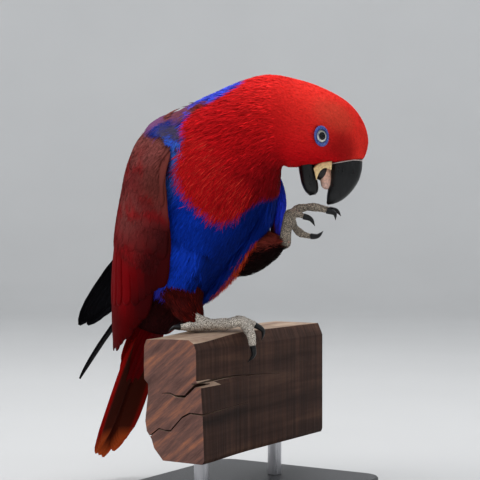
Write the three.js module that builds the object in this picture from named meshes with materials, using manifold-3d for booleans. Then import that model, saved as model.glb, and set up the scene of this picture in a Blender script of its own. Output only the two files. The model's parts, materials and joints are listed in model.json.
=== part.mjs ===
// A female eclectus parrot, life size, that stands on one foot across a squared timber and holds the
// other foot up to its bill. Millimetres, +Z up.
// The bird is modelled in its own frame: +X is where the breast faces, +Y is the bird's left, and the
// origin is the middle of the standing foot, on top of the timber.
import * as THREE from "three";
import { mergeVertices } from "three/addons/utils/BufferGeometryUtils.js";
import Module from "manifold-3d";

const wasm = await Module();
wasm.setup();

// Driving dimensions
const GAP = 0.3; // between pieces that touch
const MIDLINE = 8; // from the standing foot to the bird's own plane of symmetry
const HEAD_TURN = 44; // degrees, to the bird's left
const HEAD_NEARER = 13; // how far the head's plane lies to the right of the foot, across that turn
const BILL_HALF_WIDTH = 10.5;
const EYE_RADIUS = 6.6;
const TAIL_LENGTH = 146;
const TIMBER = { wide: 50, tall: 97, long: 200 };
const FOOT_ON_TIMBER = { back: 26, along: 58.5 }; // from the front face, and from the near end
const BIRD_TURN = -12; // degrees, from square across the timber
const BASE = { wide: 170, long: 210, thick: 10, corner: 18, bevel: 1 };
const ROD = { diameter: 12, length: 34, inset: 42 };

const RAD = Math.PI / 180;
const v = (x, y, z) => new THREE.Vector3(x, y, z);
const UP = v(0, 0, 1);

// Helpers: numbers
const lerp = THREE.MathUtils.lerp;

// Catmull-Rom through four equally spaced values.
function spline(a, b, c, d, t) {
  const v0 = (c - a) / 2;
  const v1 = (d - b) / 2;
  return (2 * b - 2 * c + v0 + v1) * t ** 3 + (3 * c - 3 * b - 2 * v0 - v1) * t * t + v0 * t + b;
}

// A smooth value between the listed ones, where t counts the places in the list.
function along(list, t) {
  const last = list.length - 1;
  const i = Math.min(Math.floor(t), last - 1);
  const at = (k) => list[THREE.MathUtils.clamp(k, 0, last)];
  return spline(at(i - 1), at(i), at(i + 1), at(i + 2), t - i);
}

// A value on the straight lines between the listed ones.
function between(list, t) {
  const i = Math.min(Math.floor(t), list.length - 2);
  return lerp(list[i], list[i + 1], t - i);
}

// Helpers: solids
function solidOf(geometry) {
  const bare = geometry.index ? geometry.clone() : geometry;
  bare.deleteAttribute("normal");
  bare.deleteAttribute("uv");
  const merged = mergeVertices(bare, 1e-4);
  return new wasm.Manifold(
    new wasm.Mesh({
      numProp: 3,
      vertProperties: new Float32Array(merged.attributes.position.array),
      triVerts: new Uint32Array(merged.index.array),
    }),
  );
}

// The largest closed body of a solid, without loose scraps.
function largest(solid) {
  return solid.decompose().reduce((a, b) => (a.volume() > b.volume() ? a : b));
}

function geometryOf(solid) {
  const mesh = solid.getMesh();
  return new THREE.BufferGeometry()
    .setAttribute("position", new THREE.BufferAttribute(mesh.vertProperties, 3))
    .setIndex(new THREE.BufferAttribute(mesh.triVerts, 1));
}

function unionOf(solids) {
  return solids.reduce((a, b) => a.add(b));
}

// A closed body through rings of equal point counts, with a fan over each end.
function loft(rings) {
  const count = rings[0].length;
  const points = rings.flat();
  const index = [];
  for (let i = 0; i < rings.length - 1; i++) {
    for (let j = 0; j < count; j++) {
      const a = i * count + j;
      const b = i * count + ((j + 1) % count);
      index.push(a, b, b + count, a, b + count, a + count);
    }
  }
  for (const [start, turn] of [[0, 1], [(rings.length - 1) * count, 0]]) {
    const hub = points.length;
    const middle = new THREE.Vector3();
    for (let j = 0; j < count; j++) {
      middle.add(points[start + j]);
      const a = start + j;
      const b = start + ((j + 1) % count);
      index.push(hub, turn ? b : a, turn ? a : b);
    }
    points.push(middle.divideScalar(count));
  }
  return solidOf(facingOut(points, index));
}

// A thin closed body between two grids of points. Both faces are cut into triangles alike.
function slab(upper, lower) {
  const [rows, across] = [upper.length, upper[0].length];
  const under = rows * across;
  const index = [];
  for (let i = 0; i < rows - 1; i++) {
    for (let j = 0; j < across - 1; j++) {
      const a = i * across + j;
      const c = a + across + 1;
      const b = a + under;
      const d = c + under;
      index.push(a, a + 1, c, a, c, c - 1, b, d, b + 1, b, d - 1, d);
    }
  }
  const rim = [];
  for (let j = 0; j < across - 1; j++) rim.push(j);
  for (let i = 0; i < rows - 1; i++) rim.push(i * across + across - 1);
  for (let j = across - 1; j > 0; j--) rim.push((rows - 1) * across + j);
  for (let i = rows - 1; i > 0; i--) rim.push(i * across);
  rim.forEach((p, k) => {
    const q = rim[(k + 1) % rim.length];
    index.push(q, p, p + under, q, p + under, q + under);
  });
  return solidOf(facingOut([...upper.flat(), ...lower.flat()], index));
}

// The geometry of a closed surface, its faces turned outwards.
function facingOut(points, index) {
  let volume = 0;
  for (let i = 0; i < index.length; i += 3) {
    const [a, b, c] = [points[index[i]], points[index[i + 1]], points[index[i + 2]]];
    volume += a.dot(b.clone().cross(c));
  }
  const faces = volume < 0 ? index.slice().reverse() : index;
  return new THREE.BufferGeometry()
    .setAttribute("position", new THREE.Float32BufferAttribute(points.flatMap((p) => p.toArray()), 3))
    .setIndex(faces);
}

function ellipsoid(at, radii, turn = new THREE.Quaternion(), across = 16, down = 12) {
  const shape = new THREE.SphereGeometry(1, across, down);
  shape.scale(...radii).applyQuaternion(turn).translate(at.x, at.y, at.z);
  return solidOf(shape);
}

// A tube through points, round or flattened, that tapers by its list of radii. Its flat way is turned
// towards the direction given as top.
function limb(points, radii, steps, sides, flat = 1, top = UP) {
  const path = new THREE.CatmullRomCurve3(points, false, "centripetal");
  const side = new THREE.Vector3().crossVectors(path.getTangentAt(0), top).normalize();
  const rings = [];
  for (let i = 0; i <= steps; i++) {
    const t = i / steps;
    const radius = along(radii, t * (radii.length - 1));
    const tangent = path.getTangentAt(t);
    side.addScaledVector(tangent, -side.dot(tangent)).normalize();
    const normal = new THREE.Vector3().crossVectors(side, tangent);
    rings.push(circle(path.getPointAt(t), side, normal, radius, radius * flat, sides));
  }
  return loft(rings);
}

function circle(centre, side, top, rx, ry, sides) {
  const ring = [];
  for (let j = 0; j < sides; j++) {
    const a = (2 * Math.PI * j) / sides;
    ring.push(
      centre.clone().addScaledVector(side, rx * Math.cos(a)).addScaledVector(top, ry * Math.sin(a)),
    );
  }
  return ring;
}

// The body's sections, from the root of the tail to the base of the bill. yaw turns a section to the
// left and rise is the slope of the body's axis there; wide is half its width, and up and down are its
// depths towards the back and towards the breast.
const TORSO_SECTIONS = [
  { x: -83, y: MIDLINE, z: 3, yaw: 0, rise: 63, wide: 19, up: 11, down: 20 },
  { x: -70, y: MIDLINE, z: 28, yaw: 0, rise: 62, wide: 33, up: 23, down: 36 },
  { x: -53, y: MIDLINE, z: 57, yaw: 0, rise: 61, wide: 43, up: 36, down: 47 },
  { x: -37, y: MIDLINE, z: 87, yaw: 0, rise: 60, wide: 50, up: 47, down: 57 },
  { x: -19, y: MIDLINE, z: 117, yaw: 2, rise: 57, wide: 53, up: 56, down: 63 },
  { x: 2, y: MIDLINE + 1, z: 145, yaw: 8, rise: 48, wide: 51, up: 49, down: 60 },
  { x: 24, y: MIDLINE + 6, z: 164, yaw: 20, rise: 32, wide: 41, up: 37.4, down: 50 },
  { x: 44, y: MIDLINE + 18, z: 173, yaw: 35, rise: 10, wide: 34, up: 34.8, down: 40 },
];

// The head's sections are drawn in the head's own upright plane: across is the distance along the way
// that the head faces, and each section runs from a point on the crown line to one on the throat line.
const HEAD_SECTIONS = [
  { crown: [69.5, 203.7], throat: [62, 133.2], wide: 31 },
  { crown: [92, 195.8], throat: [69, 133.2], wide: 29.5 },
  { crown: [110.2, 185], throat: [77, 133.6], wide: 27 },
  { crown: [121.4, 171], throat: [85, 134.8], wide: 22.5 },
  { crown: [126.2, 154.6], throat: [91, 136.3], wide: 17 },
  { crown: [122.6, 139.8], throat: [95.4, 136.4], wide: 11.5 },
];

// A point of the head's own plane, moved to one side by the last number.
function headPoint(across, height, left = 0) {
  const turn = HEAD_TURN * RAD;
  const away = left - HEAD_NEARER;
  return new THREE.Vector3(
    across * Math.cos(turn) - away * Math.sin(turn),
    across * Math.sin(turn) + away * Math.cos(turn),
    height,
  );
}

function headSection({ crown, throat, wide }) {
  const middle = headPoint((crown[0] + throat[0]) / 2, (crown[1] + throat[1]) / 2);
  const [da, dh] = [crown[0] - throat[0], crown[1] - throat[1]];
  const half = Math.hypot(da, dh) / 2;
  const rise = Math.atan2(-da, dh) / RAD;
  return { x: middle.x, y: middle.y, z: middle.z, yaw: HEAD_TURN, rise, wide, up: half, down: half };
}

const BODY = [...TORSO_SECTIONS, ...HEAD_SECTIONS.map(headSection)];
const NECK_STARTS = 5.4; // places in the list of sections
const HEAD_STARTS = 7.7;
const BODY_ENDS = BODY.length - 1;

// The section at any place of a list of sections, with its own three directions.
function sectionAt(sections, t) {
  const of = (key) => along(sections.map((s) => s[key]), t);
  const [yaw, rise] = [of("yaw") * RAD, of("rise") * RAD];
  const ahead = v(Math.cos(yaw), Math.sin(yaw), 0);
  return {
    centre: v(of("x"), of("y"), of("z")),
    forward: ahead.clone().multiplyScalar(Math.cos(rise)).addScaledVector(UP, Math.sin(rise)),
    left: v(-Math.sin(yaw), Math.cos(yaw), 0),
    top: ahead.clone().multiplyScalar(-Math.sin(rise)).addScaledVector(UP, Math.cos(rise)),
    wide: of("wide"),
    up: of("up"),
    down: of("down"),
  };
}

// A point of a section: angle 0 is the back, 90 the left side, 180 the breast and -90 the right side.
function sectionPoint(section, angle, grow = 0) {
  const a = angle * RAD;
  const side = Math.sin(a) * (section.wide + grow);
  const tall = Math.cos(a) * ((Math.cos(a) > 0 ? section.up : section.down) + grow);
  return section.centre.clone().addScaledVector(section.left, side).addScaledVector(section.top, tall);
}

function bodyLoft(from, to, rings, sides, grow = 0, trim = [0, 0]) {
  const list = [];
  for (let i = 0; i <= rings; i++) {
    const section = sectionAt(BODY, lerp(from, to, i / rings));
    if (i === 0) section.centre.addScaledVector(section.forward, trim[0] - grow);
    if (i === rings) section.centre.addScaledVector(section.forward, grow - trim[1]);
    const ring = [];
    for (let j = 0; j < sides; j++) ring.push(sectionPoint(section, (360 * j) / sides, grow));
    list.push(ring);
  }
  return loft(list);
}

const BODY_SIDES = 32;
const torso = () => bodyLoft(0, NECK_STARTS, 16, BODY_SIDES, 0, [0, GAP / 2]);
const neck = () => bodyLoft(NECK_STARTS, HEAD_STARTS, 8, BODY_SIDES, 0, [GAP / 2, GAP / 2]);
const skull = (grow = 0) => bodyLoft(HEAD_STARTS, BODY_ENDS, 16, BODY_SIDES, grow, [GAP / 2, 0]);
// Past the torso by three of its rings, over the start of the neck.
const torsoAllowance = () => bodyLoft(0, (NECK_STARTS * 19) / 16, 19, BODY_SIDES, GAP);

// Head: lids round each eye, the mouth's cavity and the nostrils
const EYE = { across: 85.8, height: 156.2, out: 22 };
const LIDS = { half: [7.4, 5.6], tube: 1.4, lean: 79, turn: 14, ahead: 1.6, out: 4.5 };
const MOUTH = { across: 88.5, height: 131.5, radii: [7.5, 7, 8.5] };
const NOSTRIL = { across: 121.7, height: 142.8, out: 5, long: 2.2, radius: 1.3 };
const headForward = new THREE.Vector3(Math.cos(HEAD_TURN * RAD), Math.sin(HEAD_TURN * RAD), 0);
const headTurned = new THREE.Quaternion().setFromAxisAngle(UP, HEAD_TURN * RAD);

function lidRing(side) {
  const ring = new THREE.TorusGeometry(1, LIDS.tube / LIDS.half[1], 6, 18);
  ring.scale(LIDS.half[0], LIDS.half[1], LIDS.half[1]);
  ring.rotateX(90 * RAD).rotateY(LIDS.lean * RAD).rotateZ(-side * LIDS.turn * RAD);
  ring.applyQuaternion(headTurned);
  const at = headPoint(EYE.across + LIDS.ahead, EYE.height, side * (EYE.out + LIDS.out));
  return solidOf(ring.translate(at.x, at.y, at.z));
}

const eyeBall = (side, grow = 0) =>
  ellipsoid(
    headPoint(EYE.across, EYE.height, side * EYE.out),
    [EYE_RADIUS + grow, EYE_RADIUS + grow, EYE_RADIUS + grow],
    headTurned,
  );

function head() {
  const nostrilRadii = [NOSTRIL.long, NOSTRIL.radius, NOSTRIL.radius];
  let solid = unionOf([skull(), lidRing(1), lidRing(-1)]);
  for (const side of [1, -1]) {
    solid = solid.subtract(eyeBall(side, GAP));
    const nostril = headPoint(NOSTRIL.across, NOSTRIL.height, side * NOSTRIL.out);
    solid = solid.subtract(ellipsoid(nostril, nostrilRadii, headTurned, 8, 6));
  }
  return largest(solid.subtract(mouthHollow()));
}

function mouthHollow(grow = 0) {
  const radii = MOUTH.radii.map((r) => r + grow);
  return ellipsoid(headPoint(MOUTH.across, MOUTH.height), radii, headTurned, 16, 12);
}

// Bill: each section runs from a point on its outer curve to one on its cutting edge
const UPPER_BILL = [
  { outer: [121, 145], inner: [96.5, 141], wide: BILL_HALF_WIDTH },
  { outer: [121.4, 138], inner: [96, 136], wide: BILL_HALF_WIDTH },
  { outer: [120.8, 130], inner: [95.8, 129], wide: BILL_HALF_WIDTH * 0.98 },
  { outer: [118, 121.4], inner: [95.2, 121.6], wide: BILL_HALF_WIDTH * 0.89 },
  { outer: [112.4, 113.2], inner: [93.8, 115.4], wide: BILL_HALF_WIDTH * 0.74 },
  { outer: [105.6, 107], inner: [93, 110.5], wide: BILL_HALF_WIDTH * 0.54 },
  { outer: [99.2, 104], inner: [92.8, 106.8], wide: BILL_HALF_WIDTH * 0.3 },
  { outer: [93.8, 103], inner: [92.6, 104.4], wide: BILL_HALF_WIDTH * 0.08 },
];
const LOWER_BILL = [
  { outer: [70.5, 141], inner: [82, 140], wide: 8.8 },
  { outer: [70.2, 133.5], inner: [83.4, 131.2], wide: 8.8 },
  { outer: [71.2, 126.5], inner: [84.8, 124.8], wide: 8.6 },
  { outer: [72.8, 119.5], inner: [86, 118.6], wide: 7.8 },
  { outer: [75.6, 113.8], inner: [85.8, 114], wide: 6 },
  { outer: [79, 110.4], inner: [84, 111.4], wide: 3.2 },
];

function billLoft(sections, rings, sides, bluntness) {
  const list = [];
  for (let i = 0; i <= rings; i++) {
    const t = (i / rings) * (sections.length - 1);
    const at = (key, k) => along(sections.map((s) => s[key][k]), t);
    const wide = along(sections.map((s) => s.wide), t);
    const ring = [];
    for (let j = 0; j < sides; j++) {
      const a = (2 * Math.PI * j) / sides;
      const bend = (1 + Math.cos(a)) / 2;
      const round = Math.sign(Math.sin(a)) * Math.abs(Math.sin(a)) ** bluntness;
      ring.push(
        headPoint(
          lerp(at("inner", 0), at("outer", 0), bend),
          lerp(at("inner", 1), at("outer", 1), bend),
          wide * round,
        ),
      );
    }
    list.push(ring);
  }
  return loft(list);
}

const upperBill = () => largest(billLoft(UPPER_BILL, 14, 18, 0.8).subtract(skull(GAP)));
const lowerBill = () => largest(billLoft(LOWER_BILL, 10, 16, 0.7).subtract(skull(GAP)));

function tongue() {
  const path = [headPoint(89, 144), headPoint(90.4, 133), headPoint(90.5, 124), headPoint(90.4, 117.5)];
  const solid = limb(path, [3.6, 4.2, 4.5, 4.1, 2], 8, 10, 0.8, headForward);
  return largest(solid.subtract(skull(GAP).subtract(mouthHollow(-GAP))));
}

// Legs. The thighs are feathered; the feet have two toes forward and two back.
const LEFT_HEEL = headPoint(59.5, 72.5, 3);
const LEFT_PALM = headPoint(63.5, 94.5, 0);
const THIGHS = {
  right: {
    path: [v(-40, -1, 66), v(-34, -6, 42), v(-27, -4, 25), v(-21, -1, 12)],
    radii: [25, 25, 18.5, 9.5],
  },
  left: {
    path: [v(-34, 32, 68), v(-6, 38, 64), v(22, 38, 69), LEFT_HEEL.clone().add(v(-4, -2, -1))],
    radii: [22, 21, 20, 18.5, 15.5, 11, 5],
  },
};

// A thigh, or the room that a piece beside it keeps clear.
function thigh(side, grow = 0) {
  const { path, radii } = THIGHS[side];
  const ends = path.slice();
  const last = ends.length - 1;
  const beyond = ends[last].clone().sub(ends[last - 1]).setLength(grow);
  ends[last] = ends[last].clone().add(beyond);
  return limb(ends, radii.map((r) => r + grow), 10, 20);
}

const TOE_SIDES = 8;

// A toe along its points, with a pad under each joint, and its claw from the last point.
function toe(points, radius, taper = 0.62) {
  return limb(points, [radius, radius * 1.08, radius * 0.88, radius * 0.98, radius * taper], 10, TOE_SIDES);
}

function claw(from, bend, tip, radius) {
  return limb([from, bend, tip], [radius, radius * 0.86, radius * 0.55, 0.35], 6, 6);
}

const footTurned = (x, y, z) => v(x, y, z).applyAxisAngle(UP, HEAD_TURN * RAD);

// The standing foot's toes, drawn along the way that the foot points: two forward over the timber's
// edge and two back.
const turned = (points) => points.map((point) => footTurned(...point));
const STANDING = {
  shank: turned([[-20, 3, 15], [-13, 2, 10], [-4, 0.5, 6.2]]),
  toes: [
    {
      points: turned([[-4, 0, 5.5], [12, -3, 6.5], [25, -5, 8], [31.5, -7, -1], [33, -9, -9]]),
      radius: 4.6,
      claw: turned([[33.2, -9.2, -10.5], [34, -10, -18], [29, -9.6, -24]]),
    },
    {
      points: turned([[-4, 1, 5.5], [10, 5, 6.5], [23, 9, 8.5], [34, 11.5, 5.5]]),
      radius: 4.2,
      claw: turned([[35.4, 11.8, 4.8], [42, 12.5, 0], [41, 12.8, -8]]),
    },
    {
      points: turned([[-4, 1, 5.5], [-13, 6, 4.8], [-21, 11, 4.4]]),
      radius: 4,
      claw: turned([[-22.2, 11.7, 4.3], [-27, 14.5, 4.2], [-31, 16.5, 1]]),
    },
    {
      points: turned([[-4, 0, 5.5], [-14, -4, 4.6], [-24, -7, 4.2]]),
      radius: 3.9,
      claw: turned([[-25.3, -7.3, 4.2], [-30, -8.6, 4.1], [-34.5, -9.6, 1]]),
    },
  ],
};

// The raised foot: its toes curl over one another below the bill.
const inHeadPlane = (points) => points.map((point) => headPoint(...point));
const RAISED = {
  shank: [LEFT_HEEL, headPoint(60.4, 83, 1.5), LEFT_PALM],
  toes: [
    {
      points: [LEFT_PALM, ...inHeadPlane([[69.5, 99.6, -2], [80, 101.2, -4], [91, 98.8, -5.5]])],
      radius: 3.3,
      claw: inHeadPlane([[92.4, 98.3, -5.7], [98.6, 96, -6], [99.4, 90.6, -6]]),
    },
    {
      points: [LEFT_PALM, ...inHeadPlane([[66, 96.6, -5], [69.4, 95.6, -9.5], [72.4, 94.2, -11.6]])],
      radius: 3.2,
      claw: inHeadPlane([[73.5, 93.6, -11.8], [79.2, 91.4, -12.4], [82.6, 85.8, -12.4]]),
    },
    {
      points: [LEFT_PALM, ...inHeadPlane([[69, 99, 5], [81, 101.4, 7.5], [94, 99.8, 7.5]])],
      radius: 3.3,
      claw: inHeadPlane([[95.4, 99.4, 7.4], [101.2, 98.4, 7], [104.8, 94, 6.5]]),
    },
    {
      points: [LEFT_PALM, ...inHeadPlane([[66, 87, 6.5], [72, 80.5, 9], [79, 78, 8]])],
      radius: 3.3,
      claw: inHeadPlane([[80.3, 77.8, 7.8], [86, 78, 7], [90.5, 82, 6.5]]),
    },
  ],
};

const CLAW_RADIUS = 2.5;
const clawSolid = ({ claw: [from, bend, tip] }) => claw(from, bend, tip, CLAW_RADIUS);

function clawAllowance({ claw: [from, bend, tip] }) {
  return claw(from, bend, tip, CLAW_RADIUS + GAP);
}

function foot({ shank, toes }, shankRadii) {
  const toeSolids = toes.map(({ points, radius }) => toe(points, radius));
  return unionOf([limb(shank, shankRadii, 6, 12), ...toeSolids]);
}

// Feathers: each vane is a thin slab. place(s, side, height) gives its points, where s runs from its
// root to its tip, and side and height are in millimetres. Its edge on the plus side is the higher by
// the lift for each millimetre, so that neighbours pass over one another.
const VANE_STATIONS = [0, 0.4, 0.8, 0.95, 1];
const VANE_WIDTHS = [0.5, 0.98, 0.94, 0.56, 0.14];
const VANE_THICK = { root: 0.7, tip: 0.4 };

function vane(place, width, lift) {
  const face = (below) =>
    VANE_STATIONS.map((s, i) =>
      [-1, 0, 1].map((k) => {
        const side = (k * width * VANE_WIDTHS[i]) / 2;
        return place(s, side, lift * side - below * lerp(VANE_THICK.root, VANE_THICK.tip, s));
      }),
    );
  return slab(face(0), face(1));
}

// Wings. Places along a wing count its sections, and angles run from the back (0) down the side (90).
const WING_SECTIONS = [
  { x: 8, y: MIDLINE, z: 152, yaw: 0, rise: 48, wide: 53, up: 57, down: 62 },
  { x: -17, y: MIDLINE, z: 120, yaw: 0, rise: 57, wide: 58, up: 65, down: 68 },
  { x: -36, y: MIDLINE, z: 90, yaw: 0, rise: 60, wide: 54, up: 52, down: 58 },
  { x: -52, y: MIDLINE, z: 60, yaw: 0, rise: 61, wide: 51, up: 45, down: 50 },
  { x: -66, y: MIDLINE, z: 32, yaw: 0, rise: 62, wide: 44, up: 40, down: 42 },
  { x: -79, y: MIDLINE, z: 4, yaw: 0, rise: 62, wide: 35, up: 34, down: 33 },
  { x: -93, y: MIDLINE, z: -27, yaw: 0, rise: 62, wide: 26, up: 27, down: 24 },
  { x: -107, y: MIDLINE, z: -58, yaw: 0, rise: 62, wide: 14, up: 15, down: 14 },
];

function wingPoint(t, angle, height) {
  return sectionPoint(sectionAt(WING_SECTIONS, t), -angle, height);
}

// The fleshy core of a wing, under its coverts, thins out where the long feathers leave it.
const WING_CORE = {
  ends: 2.9,
  back: [26, 14, 12, 16],
  front: [84, 110, 120, 116],
  outer: [-4.5, 5.4, 4.6, -0.4],
  edge: [-6, -4, -2, -1.4],
  inner: [-8, -7, -4, -2.2],
};

function wingCore() {
  const [steps, across] = [6, 7];
  const faces = [1, 0].map((outer) => {
    const rows = [];
    for (let i = 0; i <= steps; i++) {
      const t = (i / steps) * WING_CORE.ends;
      const k = (i / steps) * (WING_CORE.outer.length - 1);
      const [back, front] = [along(WING_CORE.back, k), along(WING_CORE.front, k)];
      const heights = [along(WING_CORE.edge, k), along(WING_CORE.outer, k)];
      const row = [];
      for (let j = 0; j <= across; j++) {
        const swell = Math.sin((Math.PI * j) / across) ** 0.5;
        const height = outer ? lerp(heights[0], heights[1], swell) : along(WING_CORE.inner, k);
        row.push(wingPoint(t, lerp(back, front, j / across), height));
      }
      rows.push(row);
    }
    return rows;
  });
  return slab(faces[0], faces[1]);
}

// The tiers of a wing, from the lowest up. Each runs over the fan of its vanes from the leading edge to
// the back: roots and tips are [place, angle] pairs, and heights run from the root to the tip.
const WING_TIERS = [
  {
    name: "primaries", count: 6, width: 15, lift: 0.17, heights: [0.4, 0.9, 0.6, 0.4],
    roots: [[2.3, 98], [2.35, 80], [2.4, 62]],
    tips: [[4.6, 112], [5.35, 98], [5.9, 76], [6.05, 46]],
    liftedTips: [[4.9, 99], [5.9, 84], [6.6, 64], [6.7, 44]],
  },
  {
    name: "secondaries", count: 7, width: 18.5, lift: 0.1, heights: [2.2, 3.9, 3.5, 3],
    roots: [[1.55, 112], [1.6, 66], [1.6, 22]],
    tips: [[3.3, 127], [4.15, 115], [4.75, 76], [4.75, 22]],
    liftedTips: [[3.2, 122], [3.9, 104], [4.2, 64], [4.1, 24]],
  },
  {
    name: "greater coverts", count: 6, width: 19, lift: 0.09, heights: [3.4, 6.7, 6.4, 5.5],
    roots: [[0.8, 100], [0.7, 64], [0.75, 30]],
    tips: [[2.45, 117], [2.8, 72], [2.7, 18]],
  },
];

function wingTier({ count, width, lift, heights, roots, tips, liftedTips }, isLifted) {
  const ends = (isLifted && liftedTips) || tips;
  const vanes = [];
  const pick = (list, k, i) => between(list.map((entry) => entry[i]), k * (list.length - 1));
  for (let n = 0; n < count; n++) {
    const k = n / (count - 1);
    const [from, to] = [roots, ends].map((list) => [pick(list, k, 0), pick(list, k, 1)]);
    const place = (s, side, height) => {
      const t = lerp(from[0], to[0], s);
      const round = side / sectionAt(WING_SECTIONS, t).wide / RAD;
      return wingPoint(t, lerp(from[1], to[1], s) + round, along(heights, s * (heights.length - 1)) + height);
    };
    vanes.push(vane(place, width, lift));
  }
  return vanes;
}

function wing(isLifted) {
  return unionOf([wingCore(), ...WING_TIERS.flatMap((tier) => wingTier(tier, isLifted))]);
}

function mirrored(solid) {
  const matrix = new THREE.Matrix4().makeTranslation(0, 2 * MIDLINE, 0).scale(v(1, -1, 1));
  const shape = geometryOf(solid).applyMatrix4(matrix);
  const index = Array.from(shape.index.array).reverse();
  return solidOf(shape.setIndex(index));
}

// The left wing is held a little away from the body, up and back, about the shoulder, and its outermost
// primary hangs apart from the others on its edge.
const LIFTED = { shoulder: v(8, MIDLINE + 34, 146), raise: 17, turn: 9 };
const LOOSE = { root: v(-66, 40, 66), bend: v(-124, 18, 26), tip: v(-161, -6, -50), width: 12 };

function lifted(solid) {
  const turn = new THREE.Quaternion().setFromAxisAngle(UP, LIFTED.turn * RAD);
  turn.multiply(new THREE.Quaternion().setFromAxisAngle(v(0, 1, 0), LIFTED.raise * RAD));
  const shape = geometryOf(solid).translate(...LIFTED.shoulder.clone().negate().toArray());
  shape.applyQuaternion(turn).translate(...LIFTED.shoulder.toArray());
  return solidOf(shape);
}

function looseVane() {
  const path = new THREE.QuadraticBezierCurve3(LOOSE.root, LOOSE.bend, LOOSE.tip);
  const side = v(-Math.sin(HEAD_TURN * RAD), Math.cos(HEAD_TURN * RAD), 0.25).normalize();
  const place = (s, across, height) => {
    const normal = new THREE.Vector3().crossVectors(path.getTangent(s), side).normalize();
    return path.getPoint(s).addScaledVector(side, across).addScaledVector(normal, height);
  };
  return vane(place, LOOSE.width, 0);
}

// The bend of the left wing: a fold of feathers that hangs past the breast.
const BEND = {
  path: [v(-12, 57.5, 152), v(1, 60.5, 139), v(14, 58, 123), v(23, 55, 111), v(28, 52.5, 99), v(32, 50, 87)],
  radii: [7, 8, 9, 9, 8, 3.4],
  flat: 0.6,
};

// Tail: its root is under the rump, and it slopes down and back.
const TAIL_ROOT = v(-81, MIDLINE, 8);
const TAIL_SLOPE = 63; // degrees below the horizontal
const tailTop = v(-Math.sin(TAIL_SLOPE * RAD), 0, Math.cos(TAIL_SLOPE * RAD));
const tailAlong = v(-Math.cos(TAIL_SLOPE * RAD), 0, -Math.sin(TAIL_SLOPE * RAD));

// A place of the tail: millimetres from its root, to the left and above its middle.
function tailPoint(distance, left, above) {
  const point = TAIL_ROOT.clone().addScaledVector(tailAlong, distance).addScaledVector(tailTop, above);
  return point.add(v(0, left, 0));
}

const TAIL_CORE = [[-18, 9, 8], [4, 14, 10], [24, 13, 8], [42, 10, 5], [54, 6, 2]];
const TAIL_FEATHERS = [
  { side: 1, level: 0, left: 2.5 }, // the middle pair, one over the other
  { side: -1, level: 1, left: 3.5 },
];
for (let pair = 1; pair <= 5; pair++) {
  for (const side of [-1, 1]) TAIL_FEATHERS.push({ side, level: pair + 1, left: 9.7 + pair * 0.3 });
}
const TAIL_STACK = { width: 19, top: 3.6, root: 1.05, tip: 0.75, curve: 0.01, shorter: 3.6 };

function tail() {
  const rings = TAIL_CORE.map(([distance, wide, thick]) =>
    circle(tailPoint(distance, 0, 0), v(0, 1, 0), tailTop, wide, thick, 12),
  );
  const vanes = TAIL_FEATHERS.map(({ side, level, left }) => {
    const length = TAIL_LENGTH - level * TAIL_STACK.shorter;
    const place = (s, across, height) => {
      const above = TAIL_STACK.top - level * lerp(TAIL_STACK.root, TAIL_STACK.tip, s) - 1.5 * s;
      const out = side * left + across;
      return tailPoint(lerp(14, length, s), out, above - TAIL_STACK.curve * out * out + height);
    };
    return vane(place, TAIL_STACK.width, 0);
  });
  return unionOf([loft(rings), ...vanes]);
}

// Timber and stand, placed from the timber's near top front edge. The timber's near end is weathered:
// its outline there runs round from the top, and fades into the sawn section along its length.
const NEAR_OUTLINE = [
  { side: "top", points: [[-49, -3.4], [-36, -2.6], [-22, -2.2], [-9, -2.2], [-4.4, -5]] },
  { side: "front", points: [[-2.2, -10], [-2, -22], [-2, -33.5], [2.4, -38.5], [3.9, -58]] },
  { side: "front", points: [[4.8, -78], [5.4, -94]] },
  { side: "bottom", points: [[3.6, -97], [-12, -97], [-33, -97]] },
  { side: "back", points: [[-41.5, -88], [-44, -81], [-48.6, -75], [-50, -67], [-49, -59], [-47.4, -46]] },
  { side: "back", points: [[-47.4, -38], [-51, -34.5], [-51.4, -24], [-51, -8]] },
];
const WEAR_FADES = 75; // how far along the timber the near end's wear reaches
const ARRIS = 1.2; // the sawn edges are broken by this much

function sawn(side, x, z) {
  const { wide, tall } = TIMBER;
  const inX = THREE.MathUtils.clamp(x, -wide + ARRIS, -ARRIS);
  const inZ = THREE.MathUtils.clamp(z, -tall + ARRIS, -ARRIS);
  return { top: [inX, 0], bottom: [inX, -tall], front: [0, inZ], back: [-wide, inZ] }[side];
}

function timberRing(y) {
  const fade = THREE.MathUtils.smoothstep(y, 0, WEAR_FADES);
  return NEAR_OUTLINE.flatMap(({ side, points }) =>
    points.map(([x, z]) => {
      const [sx, sz] = sawn(side, x, z);
      return v(lerp(x, sx, fade), y, side === "bottom" ? sz : lerp(z, sz, fade));
    }),
  );
}

// A crack: a blade that follows a path over a face and narrows with depth.
function crack(path, widths, depth, place) {
  return loft(
    path.map(([a, b], i) => {
      const [half, root] = [widths[i] / 2, widths[i] / 8];
      const corners = [[half, 0], [-half, 0], [-root, depth], [root, depth]];
      return corners.map(([over, deep]) => place(a, b + over, deep));
    }),
  );
}

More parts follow.
